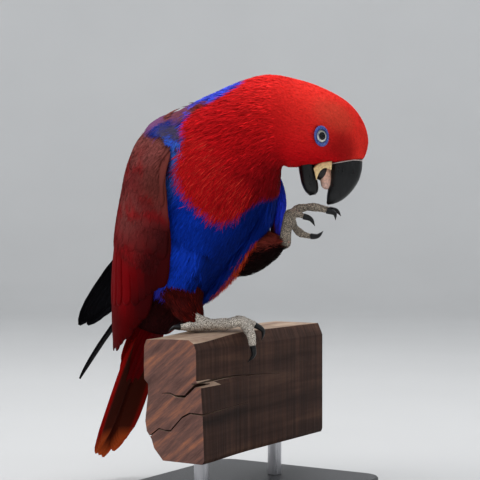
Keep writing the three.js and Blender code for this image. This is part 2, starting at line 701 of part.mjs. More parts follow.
const CRACK_DEPTH = { end: 16, front: 13 };
const CRACKS = [
  {
    end: [[-34, -44.5], [-27, -44], [-21, -46], [-13, -46], [-8, -41.5], [-3, -37], [9, -35.5]],
    endWidths: [0.5, 0.9, 1.6, 2.2, 3, 2.9, 2.6],
    front: [[-2, -36], [10, -35], [31, -34.4], [52, -33.8], [66, -34.6], [93, -36], [122, -38]],
    frontWidths: [3.2, 3, 2.4, 1.8, 1.1, 0.7, 0.4],
  },
  {
    end: [[-46, -79], [-37, -72.4], [-31, -73.4], [-26, -73.4], [-15, -62], [-8, -58.4], [9, -59]],
    endWidths: [1.2, 1.2, 0.9, 1.4, 1.5, 1.2, 1],
    front: [[-2, -59], [12, -58.6], [31, -58.2], [52, -58], [72, -57.6]],
    frontWidths: [1.2, 1, 0.8, 0.6, 0.4],
  },
];

function timber() {
  const rings = [0, 8, 18, 30, 44, 58, 75, 120, TIMBER.long].map(timberRing);
  let solid = loft(rings);
  for (const { end, endWidths, front, frontWidths } of CRACKS) {
    solid = solid.subtract(crack(end, endWidths, CRACK_DEPTH.end, (x, z, d) => v(x, d - 0.5, z)));
    solid = solid.subtract(crack(front, frontWidths, CRACK_DEPTH.front, (y, z, d) => v(7 - d, y, z)));
  }
  return largest(solid);
}

function base() {
  const { wide, long, thick, corner, bevel } = BASE;
  const [hw, hl] = [wide / 2 - bevel, long / 2 - bevel];
  const outline = new THREE.Shape();
  const quarter = Math.PI / 2;
  [[1, -1], [1, 1], [-1, 1], [-1, -1]].forEach(([x, y], i) => {
    outline.absarc(x * (hw - corner), y * (hl - corner), corner, (i - 1) * quarter, i * quarter);
  });
  return new THREE.ExtrudeGeometry(outline, {
    depth: thick - 2 * bevel,
    bevelThickness: bevel,
    bevelSize: bevel,
    bevelSegments: 1,
    curveSegments: 4,
  }).translate(0, 0, bevel);
}

// Materials
function material(color, roughness, metalness = 0) {
  return new THREE.MeshStandardMaterial({ color, roughness, metalness });
}
const RED = material(0xb8141c, 0.8);
const MAROON = material(0x6a1418, 0.8);
const BLUE = material(0x12309a, 0.8);
const HORN = material(0x17181a, 0.35);
const SKIN = material(0x8d8778, 0.85);
const FLESH = material(0xc98a70, 0.6);
const IRIS = material(0xe9e2c4, 0.1);
const WOOD = material(0x4a2a24, 0.8);
const STEEL = material(0x8c9094, 0.35, 1);
const PAINT = material(0x2b2b2c, 0.5, 0.2);

// The object
const part = new THREE.Group();
const bird = new THREE.Group();
bird.position.set(-FOOT_ON_TIMBER.back, FOOT_ON_TIMBER.along, 0);
bird.rotation.z = BIRD_TURN * RAD;
part.add(bird);

function piece(group, name, shape, look) {
  const mesh = new THREE.Mesh(shape.isBufferGeometry ? shape : geometryOf(shape), look);
  mesh.name = name;
  group.add(mesh);
  return mesh;
}

piece(bird, "torso", torso(), BLUE);
piece(bird, "neck", neck(), RED);
piece(bird, "head", head(), RED);
piece(bird, "upper_mandible", upperBill(), HORN);
piece(bird, "lower_mandible", lowerBill(), HORN);
piece(bird, "tongue", tongue(), FLESH);
piece(bird, "eye_right", eyeBall(-1), IRIS);
piece(bird, "eye_left", eyeBall(1), IRIS);

const feet = {
  right: foot(STANDING, [5.4, 5.2, 5.4]),
  left: foot(RAISED, [4.8, 4.4, 5.2]),
};
const toeNames = ["front_outer", "front_inner", "back_inner", "back_outer"];
const bend = limb(BEND.path, BEND.radii, 6, 8, BEND.flat, v(0.5, 1, 0));
const wings = { right: wing(false), left: lifted(mirrored(wing(true))).add(looseVane()).add(bend) };
for (const [side, plan] of [["right", STANDING], ["left", RAISED]]) {
  for (const plannedToe of plan.toes) feet[side] = feet[side].subtract(clawAllowance(plannedToe));
  piece(bird, "thigh_" + side, largest(thigh(side).subtract(torsoAllowance())), MAROON);
  piece(bird, "foot_" + side, largest(feet[side].subtract(thigh(side, GAP))), SKIN);
  plan.toes.forEach((plannedToe, i) => {
    piece(bird, "claw_" + side + "_" + toeNames[i], clawSolid(plannedToe), HORN);
  });
  const fitted = wings[side].subtract(torsoAllowance()).subtract(thigh(side, GAP));
  piece(bird, "wing_" + side, largest(fitted), MAROON);
}
piece(bird, "tail", largest(tail().subtract(torsoAllowance())), MAROON);

piece(part, "perch", timber(), WOOD);
const baseTop = -TIMBER.tall - ROD.length;
const middleOfTimber = [-TIMBER.wide / 2, TIMBER.long / 2];
const baseMesh = piece(part, "stand_base", base(), PAINT);
baseMesh.position.set(middleOfTimber[0], middleOfTimber[1], baseTop - BASE.thick);
[ROD.inset, TIMBER.long - ROD.inset].forEach((y, i) => {
  const shape = new THREE.CylinderGeometry(ROD.diameter / 2, ROD.diameter / 2, ROD.length - 2 * GAP, 24);
  const rod = piece(part, "stand_rod_" + (i + 1), shape.rotateX(90 * RAD), STEEL);
  rod.position.set(middleOfTimber[0], y, baseTop + ROD.length / 2);
});

// The part's frame: its origin is at the middle of its underside.
part.updateMatrixWorld(true);
const extent = new THREE.Box3().setFromObject(part, true);
const middle = extent.getCenter(new THREE.Vector3());
part.position.set(-middle.x, -middle.y, -extent.min.z);
part.updateMatrixWorld(true);

export default part;
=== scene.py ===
"""A female eclectus parrot on a cut length of timber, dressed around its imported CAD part."""

import json
import math

import bpy
import numpy as np
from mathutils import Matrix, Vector

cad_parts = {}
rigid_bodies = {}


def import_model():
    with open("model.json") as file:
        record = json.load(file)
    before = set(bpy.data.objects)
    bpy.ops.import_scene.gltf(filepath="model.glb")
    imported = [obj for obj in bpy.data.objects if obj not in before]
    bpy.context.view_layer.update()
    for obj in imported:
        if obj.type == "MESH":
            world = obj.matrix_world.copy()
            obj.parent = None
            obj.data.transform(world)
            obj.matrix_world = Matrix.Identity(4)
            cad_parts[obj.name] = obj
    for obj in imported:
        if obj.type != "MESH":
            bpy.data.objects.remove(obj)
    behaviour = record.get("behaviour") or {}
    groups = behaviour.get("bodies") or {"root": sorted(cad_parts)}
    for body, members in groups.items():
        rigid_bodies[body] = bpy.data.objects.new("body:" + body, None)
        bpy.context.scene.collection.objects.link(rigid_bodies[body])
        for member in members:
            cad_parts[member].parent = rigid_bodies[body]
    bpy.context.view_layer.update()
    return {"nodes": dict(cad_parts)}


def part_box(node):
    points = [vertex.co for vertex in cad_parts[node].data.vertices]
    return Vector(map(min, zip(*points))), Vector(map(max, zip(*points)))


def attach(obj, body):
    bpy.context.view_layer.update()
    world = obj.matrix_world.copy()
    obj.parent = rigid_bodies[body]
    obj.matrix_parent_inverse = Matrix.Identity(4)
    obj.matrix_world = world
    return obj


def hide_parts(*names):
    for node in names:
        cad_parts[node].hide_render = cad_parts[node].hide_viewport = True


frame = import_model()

RANDOM = np.random.default_rng(41)

# Everything on the bird is drawn in millimetres in the bird's own frame, as the CAD part is: +X is where
# the breast faces, +Y is its left, and the origin is the middle of the standing foot.
MM = 0.001
RAD = math.pi / 180
TIMBER_LIP = 5.4  # how far the worn end stands out past the timber's front face
FOOT_ON_TIMBER = np.array([-26, 58.5, 0])
BIRD_TURN = -12 * RAD
MIDLINE = 8
HEAD_TURN = 44 * RAD
HEAD_NEARER = 13

perch_low, perch_high = (np.array(corner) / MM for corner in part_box("perch"))
TIMBER_ORIGIN = np.array([perch_high[0] - TIMBER_LIP, perch_low[1], perch_high[2]])


def turned(x, y, angle):
    c, s = math.cos(angle), math.sin(angle)
    return x * c - y * s, x * s + y * c


def world(points):
    """Points in the bird's frame, in millimetres, as points of the scene."""
    p = np.asarray(points, float)
    p = np.stack([*turned(p[..., 0], p[..., 1], BIRD_TURN), p[..., 2]], -1)
    return (p + FOOT_ON_TIMBER + TIMBER_ORIGIN) * MM


def unit(vectors):
    return vectors / np.maximum(np.linalg.norm(vectors, axis=-1, keepdims=True), 1e-9)


def grid(rows, columns):
    return np.meshgrid(rows, columns, indexing="ij")


def circle(count):
    """Angles all the way round, in radians."""
    return np.linspace(0, 2 * math.pi, count, endpoint=False)


def spline(table, t):
    """Catmull-Rom through the rows of a table, where t counts its rows."""
    table = np.asarray(table, float)
    t = np.asarray(t, float)
    last = len(table) - 1
    i = np.clip(np.floor(t).astype(int), 0, last - 1)
    f = (t - i).reshape(t.shape + (1,) * (table.ndim - 1))
    a, b, c, d = (table[np.clip(i + k, 0, last)] for k in (-1, 0, 1, 2))
    v0, v1 = (c - a) / 2, (d - b) / 2
    return (2 * b - 2 * c + v0 + v1) * f**3 + (3 * c - 3 * b - 2 * v0 - v1) * f * f + v0 * f + b


def head_point(across, height, left=0):
    """A point of the head's own upright plane, moved to one side by the last number."""
    across, height, left = np.broadcast_arrays(*(np.asarray(n, float) for n in (across, height, left)))
    return np.stack([*turned(across, left - HEAD_NEARER, HEAD_TURN), height], -1)


# The body's sections from the tail's root to the bill: x, y, z, yaw, rise, half width, depth to the
# back and depth to the breast.
TORSO = [
    (-83, MIDLINE, 3, 0, 63, 19, 11, 20),
    (-70, MIDLINE, 28, 0, 62, 33, 23, 36),
    (-53, MIDLINE, 57, 0, 61, 43, 36, 47),
    (-37, MIDLINE, 87, 0, 60, 50, 47, 57),
    (-19, MIDLINE, 117, 2, 57, 53, 56, 63),
    (2, MIDLINE + 1, 145, 8, 48, 51, 49, 60),
    (24, MIDLINE + 6, 164, 20, 32, 41, 37.4, 50),
    (44, MIDLINE + 18, 173, 35, 10, 34, 34.8, 40),
]
# The head's sections: a point on the crown's line, one on the throat's line and half the width.
HEAD = [
    ((69.5, 203.7), (62, 133.2), 31),
    ((92, 195.8), (69, 133.2), 29.5),
    ((110.2, 185), (77, 133.6), 27),
    ((121.4, 171), (85, 134.8), 22.5),
    ((126.2, 154.6), (91, 136.3), 17),
    ((122.6, 139.8), (95.4, 136.4), 11.5),
]


def head_section(crown, throat, wide):
    middle = head_point((crown[0] + throat[0]) / 2, (crown[1] + throat[1]) / 2)
    da, dh = crown[0] - throat[0], crown[1] - throat[1]
    half = math.hypot(da, dh) / 2
    return (*middle, HEAD_TURN / RAD, math.atan2(-da, dh) / RAD, wide, half, half)


BODY = np.array(TORSO + [head_section(*section) for section in HEAD])
BODY_ENDS = len(BODY) - 1


def section_point(table, t, angle, grow=0.0):
    """A point of a loft: angle 0 is the back, 90 the left, 180 the breast and -90 the right."""
    t, angle, grow = np.broadcast_arrays(*(np.asarray(n, float) for n in (t, angle, grow)))
    x, y, z, yaw, rise, wide, up, down = np.moveaxis(spline(table, t), -1, 0)
    yaw, rise, a = yaw * RAD, rise * RAD, angle * RAD
    left = np.stack([-np.sin(yaw), np.cos(yaw), 0 * yaw], -1)
    top = np.stack([-np.cos(yaw) * np.sin(rise), -np.sin(yaw) * np.sin(rise), np.cos(rise)], -1)
    side = np.sin(a) * (wide + grow)
    tall = np.cos(a) * (np.where(np.cos(a) > 0, up, down) + grow)
    return np.stack([x, y, z], -1) + left * side[..., None] + top * tall[..., None]


def body_point(t, angle, grow=0.0):
    return section_point(BODY, t, angle, grow)


# Meshes


def make_object(name, points, faces, look, colour=None, bake=None, uv=None, in_bird=True):
    """An object from points in the bird's frame and faces of three or four corners. colour is one for
    the whole piece or one for each point."""
    mesh = bpy.data.meshes.new(name)
    places = world(points) if in_bird else np.asarray(points, float)
    faces = [np.asarray(group) for group in (faces if isinstance(faces, list) else [faces])]
    corners = np.concatenate([group.ravel() for group in faces])
    sizes = np.concatenate([np.full(len(group), group.shape[1]) for group in faces])
    mesh.vertices.add(len(places))
    mesh.vertices.foreach_set("co", places.ravel())
    mesh.loops.add(len(corners))
    mesh.loops.foreach_set("vertex_index", corners)
    mesh.polygons.add(len(sizes))
    mesh.polygons.foreach_set("loop_start", np.concatenate([[0], np.cumsum(sizes)[:-1]]))
    mesh.polygons.foreach_set("use_smooth", np.full(len(sizes), True))
    if colour is not None:
        layer = mesh.color_attributes.new("Tint", "FLOAT_COLOR", "POINT")
        shades = np.concatenate([np.broadcast_to(colour, (len(places), 3)), np.ones((len(places), 1))], axis=1)
        layer.data.foreach_set("color", shades.ravel())
    for title, values in (("OFBake", bake), ("Vane", uv)):
        if values is not None:
            layer = mesh.uv_layers.new(name=title)
            layer.data.foreach_set("uv", np.asarray(values)[corners].ravel())
    mesh.update(calc_edges=True)
    mesh.validate()
    mesh.materials.append(look)
    obj = bpy.data.objects.new(name, mesh)
    bpy.context.scene.collection.objects.link(obj)
    return obj


def grid_faces(rows, columns, closed=False):
    """Four-cornered faces over a grid of points, closed round each row when asked."""
    i, j = grid(np.arange(rows - 1), np.arange(columns if closed else columns - 1))
    a = (i * columns + j).ravel()
    b = (i * columns + (j + 1) % columns).ravel()
    return np.stack([a, b, b + columns, a + columns], -1)


CAP_STEPS = np.array([25, 50, 70, 84]) * RAD


def rounded(rings):
    """Adds shrinking rings at both ends, so that a tube ends round."""
    rings = np.asarray(rings, float)
    middle = rings.mean(1)
    caps = []
    for edge, inner in ((0, 1), (-1, -2)):
        way = unit(middle[edge] - middle[inner])
        radius = np.linalg.norm(rings[edge] - middle[edge], axis=1).mean()
        caps.append([
            middle[edge] + (rings[edge] - middle[edge]) * math.cos(f) + way * radius * math.sin(f) for f in CAP_STEPS])
    return np.array(caps[0][::-1] + list(rings) + caps[1])


def tube(rings):
    """Points and faces of a closed loft through rings of equal point counts."""
    rings = np.asarray(rings, float)
    rows, columns = rings.shape[:2]
    points = np.concatenate([rings.reshape(-1, 3), rings[0].mean(0)[None], rings[-1].mean(0)[None]])
    ring = np.arange(columns)
    after = (ring + 1) % columns
    start = np.stack([np.full(columns, rows * columns), after, ring], -1)
    last = (rows - 1) * columns
    end = np.stack([np.full(columns, rows * columns + 1), last + ring, last + after], -1)
    return points, [grid_faces(rows, columns, closed=True), start, end]


def solid(name, rings, look, colour=None):
    """A closed piece through rings of points. colour may also be a function of its points."""
    points, faces = tube(rings)
    return make_object(name, points, faces, look, colour(points) if callable(colour) else colour)


def limb_rings(path, radii, steps, sides, flat=1.0, top=(0, 0, 1)):
    """Rings along a smooth path that taper by their list of radii."""
    path = np.asarray(path, float)
    fine = spline(path, np.linspace(0, len(path) - 1, 200))
    length = np.concatenate([[0], np.cumsum(np.linalg.norm(np.diff(fine, axis=0), axis=1))])
    at = np.linspace(0, length[-1], steps + 1)
    centres = np.stack([np.interp(at, length, fine[:, k]) for k in range(3)], -1)
    tangents = unit(np.gradient(centres, axis=0))
    side = unit(np.cross(tangents[0], top))
    rings = []
    for k, (centre, tangent) in enumerate(zip(centres, tangents)):
        side = unit(side - tangent * side.dot(tangent))
        normal = np.cross(side, tangent)
        radius = float(spline(np.array(radii, float)[:, None], np.array(k / steps * (len(radii) - 1)))[0])
        a = circle(sides)[:, None]
        rings.append(centre + radius * np.cos(a) * side + radius * flat * np.sin(a) * normal)
    return np.array(rings)


def joined(parts):
    """One list of points and faces out of several."""
    points, faces, start = [], [], 0
    for part_points, part_faces in parts:
        points.append(part_points)
        faces += [np.asarray(group) + start for group in part_faces]
        start += len(part_points)
    return np.concatenate(points), faces


def apply_modifiers(obj):
    """Bakes an object's modifiers into its mesh."""
    depsgraph = bpy.context.evaluated_depsgraph_get()
    mesh = bpy.data.meshes.new_from_object(obj.evaluated_get(depsgraph))
    obj.modifiers.clear()
    obj.data = mesh


FUSED_VOXEL = 0.4


def fused(obj):
    """Makes overlapping tubes one smooth skin."""
    remesh = obj.modifiers.new("remesh", "REMESH")
    remesh.mode = "VOXEL"
    remesh.voxel_size = FUSED_VOXEL * MM
    remesh.use_smooth_shade = True
    smooth = obj.modifiers.new("smooth", "SMOOTH")
    smooth.iterations = 2
    apply_modifiers(obj)
    return obj


# Materials


class Wiring:
    """Wires one material's nodes. A value is a number, a colour or another node's output."""

    def __init__(self, tree):
        self.nodes, self.links, self.shader = tree.nodes, tree.links, tree.nodes["Principled BSDF"]

    def feed(self, socket, value):
        if isinstance(value, bpy.types.NodeSocket):
            self.links.new(value, socket)
        else:
            short = socket.type == "RGBA" and len(value) == 3
            socket.default_value = (*value, 1) if short else value

    def add(self, kind, **settings):
        """A node with its properties and inputs set. An input without a name of its own is i0, i1 and so on."""
        made = self.nodes.new("ShaderNode" + kind)
        for key, value in settings.items():
            if hasattr(made, key):
                setattr(made, key, value)
            else:
                self.feed(made.inputs[int(key[1:]) if key[1:].isdigit() else key.replace("_", " ")], value)
        return made

    def out(self, kind, output, **settings):
        return self.add(kind, **settings).outputs[output]

    def maths(self, operation, *values):
        return self.out("Math", 0, operation=operation, **{f"i{n}": value for n, value in enumerate(values)})

    def point(self):
        return self.out("TexCoord", "Object")

    def noise(self, scale, detail, stretch=(1, 1, 1), turn=0.0, roughness=0.5):
        """Noise over the object's own space, drawn out along an axis where stretch is small."""
        place = self.point()
        if stretch != (1, 1, 1):
            sizes, turns = [1 / share for share in stretch], (0, turn, 0)
            place = self.out("Mapping", 0, vector_type="TEXTURE", Vector=place, Scale=sizes, Rotation=turns)
        return self.out("TexNoise", "Fac", Vector=place, Scale=scale, Detail=detail, Roughness=roughness)

    def toned(self, value, *stops):
        """A colour that follows a value. Each stop is a place from 0 to 1 and a colour or grey."""
        made = self.add("ValToRGB", Fac=value)
        ends = made.color_ramp.elements
        while len(ends) < len(stops):
            ends.new(0.5)
        for element, (place, colour) in zip(ends, stops):
            element.position = place
            element.color = (*np.broadcast_to(colour, 3), 1)
        return made.outputs["Color"]

    def mix(self, a, b, share=1.0, blend="MULTIPLY"):
        return self.out("Mix", 2, data_type="RGBA", blend_type=blend, i0=share, i6=a, i7=b)

    def colour(self, value):
        self.feed(self.shader.inputs["Base Color"], value)

    def tint(self, *uneven):
        """The mesh's own colour, made uneven by a tone."""
        own = self.out("Attribute", "Color", attribute_name="Tint")
        self.colour(self.mix(own, self.toned(*uneven)) if uneven else own)

    def rough(self, value, smooth, dull):
        self.feed(self.shader.inputs["Roughness"], self.toned(value, (0.3, smooth), (0.7, dull)))

    def bump(self, height, strength, distance, **settings):
        made = self.out("Bump", "Normal", Strength=strength, Distance=distance, Height=height, **settings)
        self.feed(self.shader.inputs["Normal"], made)


def material(name, build, **sockets):
    """A node material: build wires what varies over the surface, and sockets are the shader's constants."""
    made = bpy.data.materials.new(name)
    made.use_nodes = True
    wiring = Wiring(made.node_tree)
    for socket, value in sockets.items():
        wiring.shader.inputs[socket.replace("_", " ")].default_value = value
    build(wiring)
    return made


def mottled(scale, dark, light, bump_strength=0.0, detail=3.0):
    """A build that takes its colour from the mesh, with fine uneven light and dark."""

    def build(w):
        mottle = w.noise(scale, detail)
        w.tint(mottle, (0.3, dark), (0.7, light))
        if bump_strength:
            w.bump(mottle, bump_strength, 0.0004)

    return build


def vane_build(w):
    """Flight feathers: barbs run out from the shaft, drawn on the map named Vane."""
    axes = w.add("SeparateXYZ", Vector=w.out("UVMap", "UV", uv_map="Vane")).outputs
    lean = w.maths("MULTIPLY_ADD", w.maths("ABSOLUTE", axes["X"]), -0.9, axes["Y"])
    wave = w.out("TexNoise", "Fac", noise_dimensions="1D", Scale=1.0, Detail=3.0, W=w.maths("MULTIPLY", lean, 2.2))
    w.tint(wave, (0.3, 0.86), (0.7, 1.08))
    w.bump(wave, 0.25, 0.0002)


def bead_build(w):
    """Skin of small beads, coloured by the mesh."""
    cells = w.out("TexVoronoi", "Distance", Scale=1100.0, Vector=w.point())
    w.tint(cells, (0.15, 1.2), (0.6, 0.55))
    w.bump(cells, 0.8, 0.0003, invert=True)


def horn_build(w):
    """Black horn: fine growth lines, and paler where it is worn."""
    lines = w.noise(420.0, 4.0, (1, 1, 0.25))
    w.colour(w.toned(lines, (0.3, (0.003, 0.0032, 0.0036)), (0.75, (0.011, 0.0115, 0.0125))))
    w.rough(lines, 0.26, 0.4)
    w.bump(lines, 0.25, 0.0003)


def scale_build(light, dark):
    """Granular scales: pale beads with dark furrows between."""

    def build(w):
        furrow = w.out("TexVoronoi", "Distance", feature="DISTANCE_TO_EDGE", Scale=860.0, Vector=w.point())
        tone = w.toned(furrow, (0.02, dark), (0.22, light), (1.0, light))
        w.colour(w.mix(tone, w.toned(w.noise(130.0, 2.0), (0.35, 0.78), (0.7, 1.15))))
        w.bump(furrow, 0.7, 0.0005)

    return build


def timber_build(w):
    """Old dark hardwood: grain along the faces, saw marks across them, and fibres on the cut end."""

    def wood(scale, stretch, detail=5.0, roughness=0.6, turn=0.0):
        return w.noise(scale, detail, stretch, turn, roughness)

    facing = w.add("SeparateXYZ", Vector=w.out("NewGeometry", "True Normal")).outputs
    grain = w.toned(
        wood(60.0, (1, 0.06, 1)), (0.3, srgb(32, 18, 14)), (0.55, srgb(64, 42, 33)), (0.8, srgb(96, 66, 50)))
    face = w.mix(grain, w.toned(wood(240.0, (0.3, 1, 0.03), 3.0), (0.35, 0.62), (0.65, 1.2)))
    weather = w.toned(wood(26.0, (1, 0.3, 1)), (0.55, 0.0), (0.8, 0.4))
    face = w.mix(face, srgb(104, 78, 64), weather, "MIX")
    fibres = w.toned(
        wood(150.0, (1, 1, 0.14), 6.0, 0.7, 0.9),
        (0.28, srgb(58, 40, 38)), (0.5, srgb(112, 80, 72)), (0.72, srgb(178, 112, 80)))
    pale = w.toned(wood(90.0, (1, 0.25, 1), 4.0), (0.3, srgb(124, 98, 82)), (0.7, srgb(186, 162, 140)))
    colour = w.mix(face, pale, w.maths("GREATER_THAN", facing["Z"], 0.6), "MIX")
    w.colour(w.mix(colour, fibres, w.maths("LESS_THAN", facing["Y"], -0.6), "MIX"))
    w.bump(wood(240.0, (0.4, 1, 0.05), 4.0), 0.6, 0.0009)


def paint_build(w):
    peel = w.noise(900.0, 2.0)
    w.bump(peel, 0.12, 0.0002)
    w.rough(peel, 0.38, 0.5)


def steel_build(w):
    w.rough(w.noise(1500.0, 2.0, (1, 1, 0.02)), 0.25, 0.42)


def srgb(*values):
    """A colour given as it looks on a screen, 0 to 255."""
    v = np.array(values, float) / 255
    return np.where(v <= 0.04045, v / 12.92, ((v + 0.055) / 1.055) ** 2.4)


PLUMAGE = material("plumage", mottled(700.0, 0.9, 1.08, 0.15), Roughness=0.75, Specular_IOR_Level=0.06)
VANES = material("vanes", vane_build, Roughness=0.65, Specular_IOR_Level=0.02)
SKIN = material("feathered_skin", mottled(900.0, 0.9, 1.08, 0.5), Roughness=0.9, Specular_IOR_Level=0.05)
EYE_LOOK = material(
    "eye", Wiring.tint, Roughness=0.1, Coat_Weight=0.35, Coat_Roughness=0.02, Specular_IOR_Level=0.12,
)
LID_LOOK = material("lids", bead_build, Roughness=0.6)
HORN = material("horn", horn_build, Specular_IOR_Level=0.33)
FLESH = material("flesh", mottled(500.0, 0.7, 1.2, 0.3), Roughness=0.35, Specular_IOR_Level=0.5)
FOOT_LOOKS = {
    "right": material("foot_pale", scale_build(srgb(240, 230, 216), srgb(110, 98, 86)), Roughness=0.7),
    "left": material("foot_grey", scale_build(srgb(186, 170, 150), srgb(30, 26, 24)), Roughness=0.6),
}
TIMBER = material("timber", timber_build, Specular_IOR_Level=0.18, Roughness=0.75)
PAINT = material("stand_paint", paint_build, Base_Color=(*srgb(52, 52, 54), 1))
STEEL = material("stand_steel", steel_build, Base_Color=(*srgb(190, 190, 194), 1), Metallic=1.0)


# Markings. Places on the body are (t, angle) as in section_point.

SCARLET = srgb(196, 16, 22)
CROWN_RED = srgb(250, 58, 48)
FACE_RED = srgb(232, 20, 28)
DEEP_RED = srgb(112, 4, 12)
LORE_RED = srgb(104, 0, 8)
FOREHEAD = srgb(214, 92, 66)
BELLY_BLUE = srgb(6, 52, 172)
DEEP_BLUE = srgb(0, 26, 98)
SKY_BLUE = srgb(52, 92, 178)
BRIGHT_BLUE = srgb(24, 74, 224)
VIOLET = srgb(64, 48, 168)
NAPE_BLUE = srgb(62, 76, 204)
RED_BROWN = srgb(118, 40, 36)
MAROON = srgb(96, 26, 26)
VENT = srgb(50, 7, 8)
ORANGE_RED = srgb(176, 40, 20)
RING_BLUE = srgb(76, 96, 176)

# Where the red of the head and bib ends, all round the body.
BIB_EDGE = np.array([
    (-180, 5.3), (-170, 5.15), (-164, 4.8), (-158, 4.52), (-152, 4.24), (-144, 4.18), (-135, 4.28), (-124, 4.34),
    (-111, 4.42), (-99, 4.6), (-94, 4.82), (-92, 4.98), (-87, 5.12), (-64, 5.36), (-58, 5.44), (-54, 5.62),
    (-48, 5.98), (-42, 6.3), (-28, 6.6), (0, 6.75), (40, 6.6), (60, 6.2), (80, 5.7), (100, 5.4), (148, 5.3),
    (160, 5.35), (180, 5.3),
])
BLUE_ENDS = 1.75


def smoothstep(x, low, high):
    f = np.clip((x - low) / (high - low), 0, 1)
    return f * f * (3 - 2 * f)


def falling(x, low, high):
    return smoothstep(-x, -high, -low)


def near(x, middle, inner, outer):
    """1 within inner of the middle and 0 beyond outer of it."""
    return falling(np.abs(x - middle), inner, outer)


def spot(t, angle, middle, reach, inner, uneven=0.0):
    """1 within a share of an oval's reach, and 0 beyond its edge."""
    return smoothstep(uneven - np.hypot((t - middle[0]) / reach[0], (angle - middle[1]) / reach[1]), -1, -inner)


def mixed(a, b, share):
    share = np.asarray(share)[..., None]
    return a * (1 - share) + b * share


def layered(shade, *layers):
    """A colour with others over it in turn, each by its share."""
    for colour, share in layers:
        shade = mixed(shade, colour, share)
    return shade


def ripple(t, angle, seed=0.0):
    """A smooth uneven value about 0 over the body, for the edges of markings."""
    a = angle * RAD
    return (
        np.sin(3 * a + 2.1 * t + seed) + np.sin(7 * a - 3.3 * t + 2 * seed) * 0.6
        + np.sin(13 * a + 5.7 * t + 3 * seed) * 0.4
    ) / 2


def bib_edge(angle):
    return np.interp(angle, BIB_EDGE[:, 0], BIB_EDGE[:, 1])


def body_colour(t, angle):
    """The plumage's colour over the body."""
    back = np.abs(angle)
    wave = ripple(t, angle)
    red = layered(
        SCARLET,
        (FACE_RED, smoothstep(t, 5.6, 8.6)),
        # partly the crown's own orange-red and partly painted light: the crown, lit from above, is painted lighter
        (CROWN_RED, smoothstep(t, 5.8, 9.0) * falling(back, 45, 145)),
        # partly the breast's deeper red and partly painted shade: darker red towards the breast and underside, less on
        # the head
        (DEEP_RED, 0.8 * smoothstep(back, 108, 168) * (1 - 0.75 * smoothstep(t, 6.2, 8.2))),
        # partly the lores' own darker red and partly painted shade in front of the eye
        (LORE_RED, 0.5 * smoothstep(t, 9.6, 11.2) * near(back, 98, 8, 42)),
        (FOREHEAD, 0.4 * spot(t, back, (9.9, 62), (1.5, 34), 0.3)),
    )
    blue = layered(
        BELLY_BLUE,
        # painted shade: the belly is painted a deeper blue towards its underside and towards the vent
        (DEEP_BLUE, 0.9 * smoothstep(back + 6 * wave, 132, 172)),
        (DEEP_BLUE, 0.8 * falling(t, 2.0, 2.9) * smoothstep(back, 135, 160)),
        (SKY_BLUE, 0.9 * falling(back + 4 * wave, 94, 112) * smoothstep(t, 3.2, 4.2)),
        (BRIGHT_BLUE, 0.4 * falling(back, 104, 128) * falling(t, 3.2, 3.8)),
        (VIOLET, 0.7 * falling(t, 1.8, 2.1) * near(back, 140, 6, 20)),
    )
    mantle = layered(
        NAPE_BLUE,
        (VIOLET, smoothstep(wave, 0, 0.8)),
        (RED_BROWN, spot(t, back, (5.72, 48), (0.24, 13), 0.6, 0.15 * wave)),
        (BRIGHT_BLUE, falling(t - 0.1 * wave, 5.35, 5.55)),
        (SKY_BLUE, falling(t, 5.1, 5.3) * smoothstep(back, 62, 72)),
    )
    maroon = mixed(MAROON, VENT, falling(t, 1.6, 2.6))
    below = layered(
        maroon,
        (mantle, smoothstep(t + 0.2 * wave, 4.3, 4.7)),
        (blue, smoothstep(back + 5 * wave, 84, 94)),
        (maroon, 1 - smoothstep(t + 0.2 * wave, BLUE_ENDS - 0.15, BLUE_ENDS + 0.1)),
        (ORANGE_RED, near(angle, 160, 6, 12) * falling(t, 3.1, 3.6)),
    )
    return mixed(below, red, smoothstep(t + 0.08 * wave - bib_edge(angle), -0.08, 0.06))


# The eyes' places, shared by the skin's sockets, the coat and the lids.

EYE_ACROSS, EYE_HEIGHT, EYE_OUT, EYE_RADIUS = 85.8, 156.2, 22, 6.6
EYE_TURN = 15 * RAD
# The lids' opening: how its long way leans, how it faces ahead and down, and how far it lies out and along.
LID_LEAN, LID_TURN, LID_DROOP, LID_OUT, LID_SHIFT = 79 * RAD, 14 * RAD, 0.16, 5.8, -0.8
SOCKET_HALVES, SOCKET_DEPTH = (6.6, 5.0), 4.5
NEAR_SIDE = 8  # further in than this, along the axis, lies the other side of the head


def eye_frame(side, turn, droop=0.0):
    """The eye's middle, an outward axis, and the long and the short way of its opening."""
    centre = head_point(EYE_ACROSS, EYE_HEIGHT, side * EYE_OUT)
    c, s = math.cos(turn), math.sin(turn)
    axis = unit(head_point(s, -droop, side * c + HEAD_NEARER))
    level_way = head_point(c, 0, -side * s + HEAD_NEARER)
    long_way = level_way * math.cos(LID_LEAN) - np.array([0, 0, 1]) * math.sin(LID_LEAN)
    long_way = unit(long_way - axis * long_way.dot(axis))
    return centre, axis, long_way, np.cross(axis, long_way)


# Skin: one surface for torso, neck, head and thighs, inside the CAD by the coat's depth.


def coat_depth(t):
    return np.interp(t, [0, 1, 5, 7.5, 9, 11.5, 13], [1.6, 3.2, 3.4, 2.2, 1.3, 0.8, 0.5])


LEFT_HEEL = (59.5, 72.5, 3)
LEFT_PALM = (63.5, 94.5, 0)
THIGH_DEPTH = 2.0
SKIN_ROWS, SKIN_SIDES = 150, 144
UNDER_COAT_SHADE, UNDER_THIGHS_SHADE = 0.5, 0.6  # how light the skin is beside the plumage over it: painted shade, darker than the plumage, as the shade between the tufts
THIGH_MAP = [0.5, 0.05]
